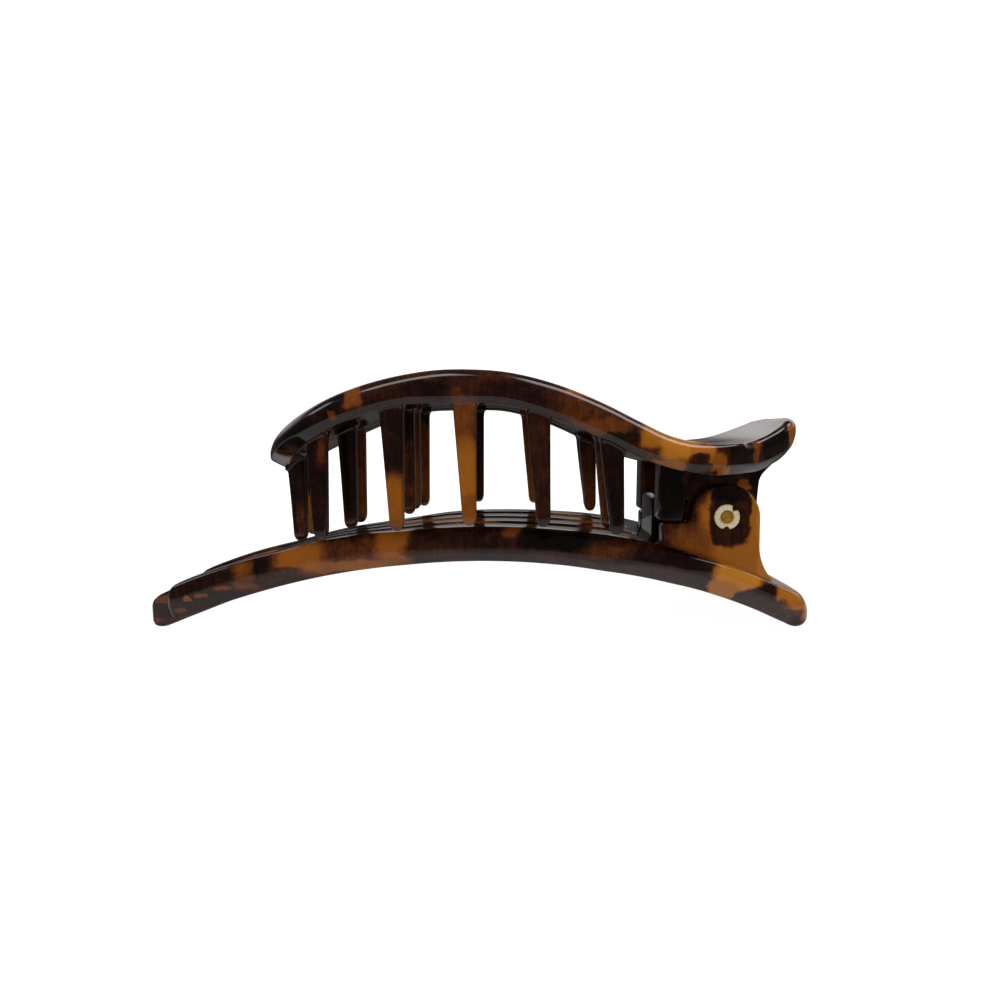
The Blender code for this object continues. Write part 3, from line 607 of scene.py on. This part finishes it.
upperPatches = (
    # centre x, y, z and radii in mm from the hinge pin, how honey it is, and how soft its border; band
    (-71.8, -16, 14.9, 4.14, 9, 4.14, 0.12, 0.5), (-64.7, -20, 18.5, 2.14, 6, 2.14, 0.2, 0.4),
    (-60.8, -20, 20.3, 1.4, 7, 2.2, 0.64, 0.3), (-63.7, -20, 17, 0.77, 3, 0.77, 0.58, 0.4),
    (-56.3, -20, 20.6, 3.06, 6, 1.84, 0.36, 0.5), (-49.5, -20, 20.6, 3.37, 5, 1.22, 0.24, 0.6),
    (-43.9, -20, 20.2, 2.45, 6, 1.53, 0.42, 0.6), (-36.3, -20, 20.6, 4.59, 6, 1.99, 0.3, 0.5),
    (-24.2, -20, 18.5, 6.73, 7, 3.06, 0.5, 0.6), (-25.4, -20, 20.4, 2.75, 4, 0.61, 0.74, 0.4),
    (-24.1, -20, 15, 5.51, 4, 1.07, 0.6, 0.5), (-19.3, -20, 13.5, 3.06, 5, 1.07, 0.28, 0.5),
    (-14.2, -19, 13.7, 2.63, 7, 1.55, 0.84, 0.4), (-10.3, -19, 12.1, 3.25, 7, 1.85, 0.92, 0.35),
    (-6.8, -19, 11.1, 2.01, 7, 1.55, 0.84, 0.3), (-12.2, -19, 9.4, 2.78, 4, 0.93, 0.8, 0.4),
    (-7.6, -19, 9.8, 1.39, 4, 1.24, 0.34, 0.35), (-4.5, -18, 9.6, 1.25, 5, 1.4, 0.72, 0.3),
    (-3.6, -18, 8.2, 1.09, 4, 0.78, 0.76, 0.3), (-0.3, -16, 10.5, 2.23, 7, 1.75, 0.26, 0.2),
    (2.5, -14, 11.4, 0.95, 6, 1.9, 0.62, 0.4), (7, -11, 12, 2.84, 8, 2.17, 0.24, 0.2),
    (7.9, -10, 13.4, 2.02, 5, 1.18, 0.1, 0.3), (11.2, -8, 13.6, 1.5, 14, 2.2, 0.82, 0.2),
    # teeth
    (-74.8, -3.8, 3.9, 2.14, 3, 8.18, 0.26, 0.3), (-73.6, -3.8, -1.5, 0.71, 3, 3.2, 0.46, 0.4),
    (-74.1, 3.8, 7, 1.52, 3, 4.74, 0.45, 0.3), (-74, 3.8, -2.6, 1.52, 3, 5.31, 0.88, 0.3),
    (-67.7, -13.5, 4.8, 1.96, 3, 8.15, 0.26, 0.3), (-66.7, -13.5, 11.4, 0.98, 3, 3.26, 0.5, 0.5),
    (-65.4, -3.8, 7.5, 2.31, 3, 9.25, 0.24, 0.3), (-64.6, 3.8, 7, 1.9, 3, 10.62, 0.62, 0.3),
    (-55.4, -17.3, 13, 2.36, 3, 5.97, 0.28, 0.4), (-54.4, -17.3, 3.6, 2.2, 3, 4.3, 0.77, 0.55),
    (-53.9, 3.8, 8.9, 3.79, 9, 11.38, 0.6, 0.3), (-53.3, 9, 4.7, 1.58, 9, 7.9, 0.66, 0.4),
    (-43.6, -17.3, 13, 2.36, 3, 7.86, 0.62, 0.4), (-43.3, -17.3, 8.1, 2.2, 3, 5.2, 0.84, 0.5),
    (-43, -17.3, 1.6, 2.2, 3, 2.4, 0.7, 0.5),
    (-42.7, 17.3, 8.3, 1.68, 3, 12.62, 0.4, 0.3), (-31.7, -17.3, 8.3, 2.36, 3, 9.74, 0.38, 0.3),
    (-32.6, 17.3, 10.4, 1.47, 3, 12.62, 0.76, 0.3), (-20, -17.3, 4.4, 2.04, 3, 9.11, 0.2, 0.3),
    (-20.9, -11.8, 3.9, 1.66, 2.4, 9.27, 0.5, 0.3), (-20.2, 11.8, 4.5, 1.62, 2.4, 10.1, 0.62, 0.3),
    (-21, 17.3, 5.2, 1.68, 2.6, 10.52, 0.36, 0.3),
    # walls
    (0, -6.2, 6.3, 5.92, 1.6, 5.92, 0.34, 0.3), (0.4, -6.2, 7, 3.83, 1.6, 1.39, 0.5, 0.5),
    (4, -6.2, 5, 1.45, 1.6, 1.15, 0.72, 0.2), (6.3, -6.2, 6.6, 1.39, 2, 1.57, 0.18, 0.4),
    (-8.4, -9.5, 4.8, 2.71, 2.6, 6.09, 0.12, 0.2), (-6.9, -10, 7.6, 1.01, 2, 2.02, 0.46, 0.5),
    (-9.6, 8.5, 4, 2.76, 4, 5.51, 0.64, 0.3),
)
upperSurface = tortoiseshell("polished tortoiseshell acetate, upper sheet", upperPatches, 2.0)
upperPiece = buildUpperJaw(upperJaw, teeth, hingeWalls, upperSurface)
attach(upperPiece, "upper")
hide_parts("upper_jaw")
print("upper jaw made,", len(upperPiece.data.polygons), "faces")

lowerJaw = {
    "x": (-102.6, -94.2, -86, -77.6, -68.9, -60, -55.3, -48, -38.2, -27.8, -19.3, -10.5, -3.8, 0, 4, 8.3,
          10.1, 11.2, 12.1, 13, 13.8),
    "top": (-15.6, -11.9, -9.05, -6.9, -4.6, -3.2, -2.65, -1.75, -1.4, -1.8, -2.6, -4.2, -6.3, -7.6, -9.2,
            -10.95, -11.6, -12, -12.35, -12.7, -13.1),
    "under": (-21.8, -18.6, -15.6, -13.05, -10.95, -9.35, -8.55, -7.6, -7.2, -7.65, -8.55, -10.25, -11.98,
              -13.28, -14.87, -16.8, -17.56, -17.86, -17.98, -17.95, -17.9),
    "halfWidth": (8.3, 8.3, 8.3, 8.3, 8.5, 9.5, 11.2, 13.1, 14.2, 15.5, 17, 18, 18, 18, 18, 18,
                  17.5, 16.7, 15.2, 12.6, 8),
    "outerEnd": -97.3,
    "middleEnd": -102.6,
    "middleDrop": 0.75,
    "dropFade": 34.0,
    "slotEnd": -15.2,
    "slots": (1.1, 5.5, 8.1),  # half of the middle slot, both edges of an outer slot; at half width slotsAt
    "slotsAt": 14.3,
    "widestScale": 1.08,
    "cornerRadii": (1.7, 0.9, 0.8, 0.6),
    "faceShares": (0.12, 0.1),  # of the outer edge's profile, on the outer and middle prongs' end faces
    "endRounds": {"top": (2.2, 1.5), "under": (3.4, 2.6)},  # length and height of each prong end's round
    "spacing": 0.5,
    "outerRows": (-102.6, -9, -3, 13.8),
    "outerRound": ((2.5, 2.5, 1, 1.9), (2.8, 2.8, 1.1, 2.9)),  # inset and fall of the rounded top edge
    "slotRound": 0.4,
    "chamferRows": ((-102.6, -88, -83, -76, -70, -60, -37, -28, -21.5, -15.2, -9, -2.5, 6, 13.8),
                    (3.2, 3.3, 2.7, 2.5, 2.2, 1.9, 1.65, 1.8, 1.5, 2.5, 3.0, 2.8, 3.5, 3.5)),
    "chamferSlope": 0.9,
    "endRadius": 2.4,
    "endFrom": 5.0,
    "leastWall": 0.4,
    "inside": {  # the points between the edges: their steps and reach, and how far they keep from each edge
        "steps": (1.0, 0.85), "reach": 17.0,
        "nose": 1.27, "tail": 3.6, "rim": 3.15, "slot": 0.8, "tip": 1.6, "root": 1.2,
    },
}


def slotScale(jaw, x):
    # Slots and prongs widen with the jaw, up to widestScale
    return np.minimum(halfAt(jaw, x) / jaw["slotsAt"], jaw["widestScale"])


def prongHeight(jaw, name, x, y):
    # Height of the top or underside: the rows less the middle prongs' drop, rounded at the prongs' ends
    middle = np.abs(y) < (jaw["slots"][1] + jaw["slots"][2]) / 2 * slotScale(jaw, x)
    drop = jaw["middleDrop"] * np.clip(1 - (x - jaw["middleEnd"]) / jaw["dropFade"], 0, 1) * middle
    end = np.where(middle, jaw["middleEnd"], jaw["outerEnd"])
    length, height = jaw["endRounds"][name]
    fall = height * quarter((x - end) / length)
    return readRows(jaw, name, x) - drop + (fall if name == "under" else -fall)


def forkOutline(jaw):
    # Plan of the lower jaw: along the outside, round each prong's and slot's end, mirrored to the far side.
    # The third column says how much of the outer edge's profile each point has.
    def cornerArc(x, y, radius, first, last, starts=0, ends=0, count=9):
        t = np.radians(np.linspace(first, last, count))
        weights = np.linspace(starts, ends, count)
        return np.column_stack([x + radius * np.cos(t), y + radius * np.sin(t), weights])

    def along(first, last, share, weight=0):
        x = np.linspace(first, last, 500)
        y = -halfAt(jaw, x) if share is None else -share * slotScale(jaw, x)
        return resample(np.column_stack([x, y, np.full(500, weight)]), jaw["spacing"])

    def across(x, first, last, weight, count):
        return np.column_stack([np.full(count, x), np.linspace(first, last, count), np.full(count, weight)])

    inner, mid, outer = jaw["slots"]
    r1, r2, r3, r4 = jaw["cornerRadii"]
    outerEnd, middleEnd, slotEnd, tail = jaw["outerEnd"], jaw["middleEnd"], jaw["slotEnd"], jaw["x"][-1]
    outerShare, middleShare = jaw["faceShares"]
    half = halfAt(jaw, outerEnd)
    tip, nose, root = [slotScale(jaw, x) for x in (outerEnd, middleEnd, slotEnd)]
    gap = (outer - mid) / 2 * root
    near = np.concatenate([
        across(tail, 0, -jaw["halfWidth"][-1], 1.0, 9)[:-1],
        along(tail, outerEnd + r1, None, 1.0),
        cornerArc(outerEnd + r1, -half + r1, r1, -90, -180, 1.0, outerShare)[1:],
        across(outerEnd, -half + r1, -outer * tip - r2, outerShare, 5)[1:-1],
        cornerArc(outerEnd + r2, -outer * tip - r2, r2, 180, 90, outerShare),
        along(outerEnd + r2, slotEnd - gap, outer)[1:],
        cornerArc(slotEnd - gap, -(mid + outer) / 2 * root, gap, -90, 90, count=13)[1:],
        along(slotEnd - gap, middleEnd + r3, mid)[1:],
        cornerArc(middleEnd + r3, -mid * nose + r3, r3, -90, -180, 0.0, middleShare)[1:],
        across(middleEnd, -mid * nose + r3, -inner * nose - r4, middleShare, 4)[1:-1],
        cornerArc(middleEnd + r4, -inner * nose - r4, r4, 180, 90, middleShare),
        along(middleEnd + r4, slotEnd - inner * root, inner)[1:],
        cornerArc(slotEnd - inner * root, 0.0, inner * root, -90, 0, count=7)[1:],
    ])
    near[-1, 1] = 0.0
    far = near[-2:0:-1] * np.array([1, -1, 1])
    return np.concatenate([near, far])


def insidePoints(jaw):
    # A grid of points well inside the prongs and the tail, which keeps the filled faces small
    grid, (inner, mid, outer) = jaw["inside"], jaw["slots"]
    x = np.arange(jaw["middleEnd"] + grid["nose"], jaw["x"][-1] - grid["tail"], grid["steps"][0])
    y = np.arange(-grid["reach"], grid["reach"] + 0.01, grid["steps"][1])
    x, y = [values.ravel() for values in np.meshgrid(x, y)]
    scale = slotScale(jaw, x)
    away = np.abs(y) / scale
    rim = (halfAt(jaw, x) / scale) - grid["rim"]
    middle = (away > inner + grid["slot"]) & (away < mid - grid["slot"])
    side = (away > outer + grid["slot"]) & (away < rim) & (x > jaw["outerEnd"] + grid["tip"])
    tail = (x > jaw["slotEnd"] + grid["root"]) & (away < rim)
    keep = middle | side | tail
    return np.column_stack([x[keep], y[keep]])


def fillInside(jaw, name, ring, inner):
    # Delaunay triangles inside a plan ring; every point takes its height from prongHeight
    spots = [Vector(p) for p in np.concatenate([ring, inner]).tolist()]
    found = geometry.delaunay_2d_cdt(spots, [], [list(range(len(ring)))], 1, 1e-7)
    flat = np.array([tuple(p) for p in found[0]])
    height = prongHeight(jaw, name, flat[:, 0], flat[:, 1])
    return np.column_stack([flat, height]), found[2]


def lowerPlate(jaw):
    # Rings drawn in along the outline's normals give the edges; triangles close the top and the underside
    outline = forkOutline(jaw)
    loop, weight = outline[:, :2], outline[:, 2]
    x, y = loop.T
    normals = inwardNormals(loop)
    slot, radius = jaw["slotRound"], jaw["endRadius"]
    scale = np.where(x > jaw["slotEnd"], jaw["widestScale"], slotScale(jaw, x))
    height = np.interp(x, *jaw["chamferRows"])
    end = smoothStep(*endFacing, -normals[:, 0]) * (x > jaw["endFrom"])
    outerInset, outerFall = [np.interp(x, jaw["outerRows"], values) for values in jaw["outerRound"]]
    topInset = (slot * (1 - weight) + outerInset * weight) * scale
    topFall = slot * (1 - weight) + outerFall * weight
    thickness = prongHeight(jaw, "top", x, y) - prongHeight(jaw, "under", x, y)
    edgeHeight = height * (1 - end) + radius * end
    needed = topFall + chamferCurve[0, 1] * (slot * (1 - weight) + edgeHeight * weight)
    room = np.clip((thickness - jaw["leastWall"]) / needed, 0, 1)
    rings = []

    def addRing(draw, name, rise):
        flat = loop + normals * draw[:, None]
        rings.append(np.column_stack([flat, prongHeight(jaw, name, flat[:, 0], flat[:, 1]) + rise]))

    for u in roundSteps[::-1]:
        addRing(topInset * u, "top", -topFall * room * quarter(u))
    for u, (inset, rise), (roundInset, roundRise) in zip(roundSteps, chamferCurve, roundCurve):
        inset = inset * jaw["chamferSlope"] * height * (1 - end) + roundInset * radius * end
        rise = rise * height * (1 - end) + roundRise * radius * end
        draw = (slot * u * (1 - weight) + inset * room * weight) * scale
        addRing(draw, "under", (slot * quarter(u) * (1 - weight) + rise * weight) * room)
    points = np.stack(rings).reshape(-1, 3)
    faces = gridFaces(len(rings), len(loop))
    inner = insidePoints(jaw)
    for name, ring in (("top", rings[0]), ("under", rings[-1])):
        fill, triangles = fillInside(jaw, name, ring[:, :2], inner)
        faces += [[len(points) + n for n in triangle] for triangle in triangles]
        points = np.concatenate([points, fill])
    return makePiece("lower_jaw_shell", points, faces)


hingeEars = {
    "across": (7.5, 10.35),
    "lobe": {"radius": 5.85, "first": 2, "last": 168},
    "lobeMiddle": (-0.05, -0.3),
    "front": ((-6.0, -1.15, 0.9), (-10.7, -1.15, 0.5), (-10.7, -5.4, 0), (-5.0, -7.4, 0), (0.0, -9.2, 0)),
    "back": ((9.8, -14.2, 0), (9.8, -12.65, 0), (5.95, -8.06, 9.0)),
    "edge": 0.35,
    "postAcross": (-4.5, 4.5),
    "postCorners": ((-6.3, 3.6, 0.4), (-11.2, 3.6, 1.8), (-11.2, -5.6, 0), (-6.3, -7.0, 0)),
}


def buildLowerJaw(jaw, ears, surface):
    # Plate, ears and post in one piece, bored for the pin
    piece = lowerPlate(jaw)
    corners = arcCorners(ears["lobeMiddle"], ears["lobe"]) + list(ears["front"]) + list(ears["back"])
    parts = bothSides("ear", roundCorners(corners), ears["across"], ears["edge"])
    post = roundedPrism("post", roundCorners(ears["postCorners"]), *ears["postAcross"], ears["edge"])
    parts.append((post, "UNION"))
    parts.append(boreCutter())
    piece.name = "lower_jaw_moulding"
    return finishPiece(piece, parts, surface)


lowerPatches = (
    # as for the upper jaw; prongs
    (-101, -3, -17.7, 2.87, 5, 3.58, 0.3, 0.4), (-100.5, -3, -16.5, 1.43, 4, 0.72, 0.55, 0.4),
    (-101.1, -3, -20.3, 1.61, 4, 0.54, 0.5, 0.4), (-91.2, -8.3, -12.9, 5.81, 5, 4.1, 0.28, 0.4),
    (-93.2, -8.3, -15.1, 0.85, 2, 0.55, 0.64, 0.2), (-90.7, -8.3, -14.3, 1.2, 2, 0.51, 0.62, 0.2),
    (-87, -8.3, -13, 1.54, 2, 0.41, 0.58, 0.3), (-83.1, -8.3, -12.7, 2.05, 2, 0.85, 0.56, 0.5),
    (-95.1, -8.3, -17.4, 1.03, 2, 0.51, 0.56, 0.4), (-83.3, -8.4, -9.9, 1.8, 5, 1.8, 0.6, 0.6),
    (-79.5, -8.5, -9.1, 1.71, 5, 1.54, 0.2, 0.4), (-72.8, -8.7, -7.7, 5.3, 6, 2.7, 0.75, 0.45),
    (-75.8, -8.7, -10.1, 3.07, 3, 0.85, 0.42, 0.6), (-64.4, -9.5, -6.4, 4.06, 6, 2.71, 0.5, 0.6),
    (-56.3, -12, -4.6, 3.1, 7, 3.4, 0.75, 0.5), (-62.6, -9.5, -9, 6.5, 5, 1.1, 0.74, 0.55),
    # side
    (-45.5, -15, -3.2, 7.71, 5, 2.09, 0.3, 0.35), (-49.7, -14, -5.6, 4.87, 4, 1.3, 0.4, 0.5),
    (-36.2, -16, -1.7, 1.75, 4, 1.11, 0.6, 0.4), (-29.4, -17, -3.3, 5.83, 4, 1.58, 0.08, 0.4),
    (-20.4, -17.6, -4.8, 3.76, 4, 1.41, 0.5, 0.5), (-10.9, -18, -6.3, 5.31, 5, 2.03, 0.2, 0.4),
    (-5.8, -18, -9.4, 2.19, 5, 2.03, 0.3, 0.35), (-15.9, -18, -7.8, 6.24, 4, 0.94, 0.36, 0.5),
    (0, -18, -8.4, 4.21, 9, 2.19, 0.95, 0.3), (-2.4, -18, -11.4, 2.2, 5, 1.9, 0.88, 0.3),
    (9.2, -14, -13, 3.24, 16, 2.92, 0.86, 0.25), (4.4, -17, -13.9, 3.3, 5, 1.2, 0.38, 0.45),
    (8.5, -14, -15.2, 1.95, 5, 1.14, 0.38, 0.35), (5, -17, -10.7, 0.54, 4, 1.58, 0.3, 0.2),
    (15.1, -6, -15.4, 1.22, 9, 1.4, 0.8, 0.3),
    # ear
    (2.1, -9, -5, 6.8, 3, 9.86, 0.86, 0.2), (-6, -9.2, -5, 4.07, 3, 3.73, 0.68, 0.6),
    (6.6, -10, -4, 1.35, 3, 6.74, 0.94, 0.5), (0.6, -10.35, 0.2, 3.36, 1.3, 5.04, 0.36, 0.12),
    (0.4, -10.35, 4.2, 3, 1.6, 1.9, 0.18, 0.3),
    # post
    (-10.2, 0, -2.9, 3.31, 5.2, 8.09, 0.12, 0.2),
)
lowerSurface = tortoiseshell("polished tortoiseshell acetate, lower sheet", lowerPatches, 5.0)
lowerPiece = buildLowerJaw(lowerJaw, hingeEars, lowerSurface)
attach(lowerPiece, "lower")
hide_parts("lower_jaw")
print("lower jaw made,", len(lowerPiece.data.polygons), "faces")

rivet = {
    "profile": (
        # one end from the shank out, over the rolled flange and down into the hollow: y and radius
        (9.6, 1.2), (10.2, 1.2), (10.38, 1.35), (10.42, 1.9), (10.5, 2.14), (10.64, 2.175), (10.8, 2.09),
        (10.91, 1.88), (10.95, 1.6), (10.92, 1.36), (10.8, 1.17), (10.6, 1.08), (10.35, 1.02), (10.2, 0.9),
        (10.12, 0.62), (10.09, 0.3), (10.08, 0.0),
    ),
    "notches": ((50, 16, 0.93), (-92, 17, 0.7)),  # angle, half width in degrees and depth of each split
    "notchFloor": 1.3,
    "sides": 120,
}


def buildRivet(rivet, surface):
    # The profile, smoothed by a cubic along its own length, is turned; notches shorten the flange
    table = np.array(rivet["profile"])
    run = np.concatenate([[0], np.cumsum(np.linalg.norm(np.diff(table, axis=0), axis=1))])
    at = np.linspace(0, run[-1], 54)
    curve = {"x": run, "y": table[:, 0], "r": table[:, 1]}
    end = np.stack([readRows(curve, "y", at), np.clip(readRows(curve, "r", at), 0, None)], axis=1)
    near = end[::-1] * np.array([-1, 1])
    profile = np.concatenate([near, end])

    def notched(radius, t):
        floor = rivet["notchFloor"]
        for angle, width, depth in rivet["notches"]:
            away = (np.degrees(t) - angle + 180) % 360 - 180
            cut = depth * np.clip(1 - np.abs(away / width) ** 1.6, 0, 1)
            radius = np.where(radius > floor, floor + (radius - floor) * (1 - cut[None]), radius)
        return radius

    piece = turnedPiece("brass_rivet", profile, rivet["sides"], notched)
    return finishPiece(piece, [], surface, 60)


rivetPiece = buildRivet(rivet, rolledBrass())
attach(rivetPiece, "lower")
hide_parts("hinge_pin")
print("rivet made")

spring = {
    "wireRadius": 0.5, "coilRadius": 3.0, "turns": 5, "pitch": 1.35, "stepsInTurn": 48, "wireSides": 16,
    "longLegEnd": (8.0, -9.95), "shortLeg": 5.6,
}


def buildSpring(spring, surface):
    # A helix x = r cos a, z = r sin a, y = pitch a / 2 pi, with a straight leg as a tangent at each end
    radius, (endX, endZ) = spring["coilRadius"], spring["longLegEnd"]
    reach = math.hypot(endX, endZ)
    leave = math.atan2(endZ, endX) - math.acos(radius / reach)
    sweep = 2 * math.pi * (spring["turns"] + 1) + 2 * leave
    turns = sweep / (2 * math.pi)
    share = np.linspace(0, 1, round(turns * spring["stepsInTurn"]) + 1)
    angle = leave - sweep * share
    rise = spring["pitch"] * turns * (share - 0.5)
    coil = np.column_stack([radius * np.cos(angle), rise, radius * np.sin(angle)])
    steps = np.linspace(0, 1, 13)[:, None]
    longLeg = np.array([endX, coil[0, 1], endZ]) * (1 - steps) + coil[0] * steps
    shortEnd = coil[-1] + spring["shortLeg"] * np.array([math.sin(angle[-1]), 0, -math.cos(angle[-1])])
    shortLeg = coil[-1] * (1 - steps) + shortEnd * steps
    path = np.concatenate([longLeg[:-1], coil, shortLeg[1:]])
    ahead = np.gradient(path, axis=0)
    ahead /= np.linalg.norm(ahead, axis=1)[:, None]
    across = np.array([0.0, 1.0, 0.0]) - ahead * ahead[:, 1:2]
    across /= np.linalg.norm(across, axis=1)[:, None]
    out = np.cross(ahead, across)
    t = np.linspace(0, 2 * math.pi, spring["wireSides"], endpoint=False)[None, :, None]
    points = path[:, None] + spring["wireRadius"] * (np.cos(t) * across[:, None] + np.sin(t) * out[:, None])
    return finishPiece(cappedPiece("spring_wire", points), [], surface, 50)


springPiece = buildSpring(spring, springSteel())
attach(springPiece, "lower")
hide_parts("torsion_spring")
print("spring made")

studio = {
    "tableSize": 6.0,
    "tableColors": ((0.3, "#3e3e3e"), (0.7, "#414140")),
    "tableSeen": (0.06, 0.3, 1.0, 1.3),  # brightness to the camera, near the clip and away from it
    "glow": 0.5,  # of the lit part of the table under the clip, as the clip reflects it
    "glowZone": (-0.085, -0.06),  # y over which it fades in
    "glowRim": (0.04, 0.1),  # m from the middle over which it fades out
    "glowNarrow": 0.6,  # share of X in that distance
    "unlit": 0.04,
    "tableTint": (1.0, 0.985, 0.985, 1.0),
    "roomTint": (1.0, 0.965, 0.965, 1.0),
    "lights": (
        # name, place, size, watts, shows in the gloss
        ("overhead left", (-0.19, -0.09, 0.8), (0.19, 0.4), 0.9, True),
        ("overhead right", (0.4, 0.09, 0.72), (0.26, 0.46), 1.4, True),
        ("left strip", (-0.68, 0.0, 0.55), (0.16, 0.26), 0.4, True),
        ("fill", (-0.03, -0.9, 0.42), (0.9, 0.7), 6.0, False),
        ("top fill", (0.0, 0.1, 0.9), (0.9, 0.9), 2.5, False),
    ),
    "aim": (0.0, 0.0, 0.02),
    "behind": 1.05,
    "around": 0.06,
    "backdrop": 1.3,  # brightness of the room to the camera
    "behindTurn": (0.0, 0.5),  # share of Y in the directions over which the wall behind begins
    "behindRise": (0.06, 0.3),  # sines of the elevations over which it begins
    "behindFade": (0.36, 0.58),  # and ends
}


def addStudio(studio):
    # A light table lit from below under the clip, a bright low wall behind it and dark around it
    smooth = {"interpolation_type": "SMOOTHSTEP"}
    made, add, shader, spot = newMaterial("opal acrylic table")
    noise = add("TexNoise", {"Vector": spot, "Scale": 8.0, "Detail": 2.0})
    apart = add("SeparateXYZ", (spot,))
    levels = studio["unlit"], studio["glow"]
    zone = add("MapRange", (apart.outputs["Y"], *studio["glowZone"], *levels), **smooth)
    narrow = add("VectorMath", (spot, (studio["glowNarrow"], 1.0, 1.0)), operation="MULTIPLY")
    narrow = add("VectorMath", (narrow,), operation="LENGTH").outputs["Value"]
    rim = add("MapRange", (narrow, *studio["glowRim"], 1.0, studio["unlit"]), **smooth)
    zone = add("Math", (zone, rim), operation="MULTIPLY")
    away = add("VectorMath", (spot,), operation="LENGTH").outputs["Value"]
    far = add("MapRange", (away, *studio["tableSeen"]))
    seen = add("LightPath").outputs["Is Camera Ray"]
    fillInputs(shader, {
        "Base Color": add("ValToRGB", (noise,), studio["tableColors"]),
        "Roughness": 0.85, "Specular IOR Level": 0.1, "Emission Color": studio["tableTint"],
        "Emission Strength": add("Mix", {"Factor": seen, "A": zone, "B": far}),
    })
    corners = np.array([(-1, -1, 0), (1, -1, 0), (1, 1, 0), (-1, 1, 0)]) * studio["tableSize"] / 2
    mesh = bpy.data.meshes.new("table")
    mesh.from_pydata(corners.tolist(), [], [(0, 1, 2, 3)])
    mesh.materials.append(made)
    table = addObject("table", mesh)
    for name, place, extent, watts, glossy in studio["lights"]:
        data = bpy.data.lights.new(name, "AREA")
        data.shape, data.size, data.size_y, data.energy = "RECTANGLE", extent[0], extent[1], watts
        lamp = addObject(name, data)
        lamp.location = place
        lamp.rotation_euler = (Vector(studio["aim"]) - Vector(place)).to_track_quat("-Z", "Y").to_euler()
        lamp.visible_glossy = glossy
    world = bpy.data.worlds.new("studio")
    bpy.context.scene.world = world
    world.use_nodes = True
    world.node_tree.nodes.clear()
    add = partial(addNode, world.node_tree)
    apart = add("SeparateXYZ", (add("TexCoord").outputs["Generated"],)).outputs
    behind = add("MapRange", (apart["Y"], *studio["behindTurn"]), **smooth)
    rise = add("MapRange", (apart["Z"], *studio["behindRise"]), **smooth)
    fade = add("MapRange", (apart["Z"], *studio["behindFade"], 1.0, 0.0), **smooth)
    wall = add("Math", (rise, fade), operation="MULTIPLY")
    wall = add("Math", (behind, wall), operation="MULTIPLY")
    light = add("MapRange", (wall, 0.0, 1.0, studio["around"], studio["behind"]))
    seen = add("LightPath").outputs["Is Camera Ray"]
    strength = add("Mix", {"Factor": seen, "A": light, "B": studio["backdrop"]})
    back = add("Background", {"Color": studio["roomTint"], "Strength": strength})
    add("OutputWorld", {"Surface": back})


addStudio(studio)
bpy.context.scene.view_settings.view_transform = "Standard"
print("studio made")
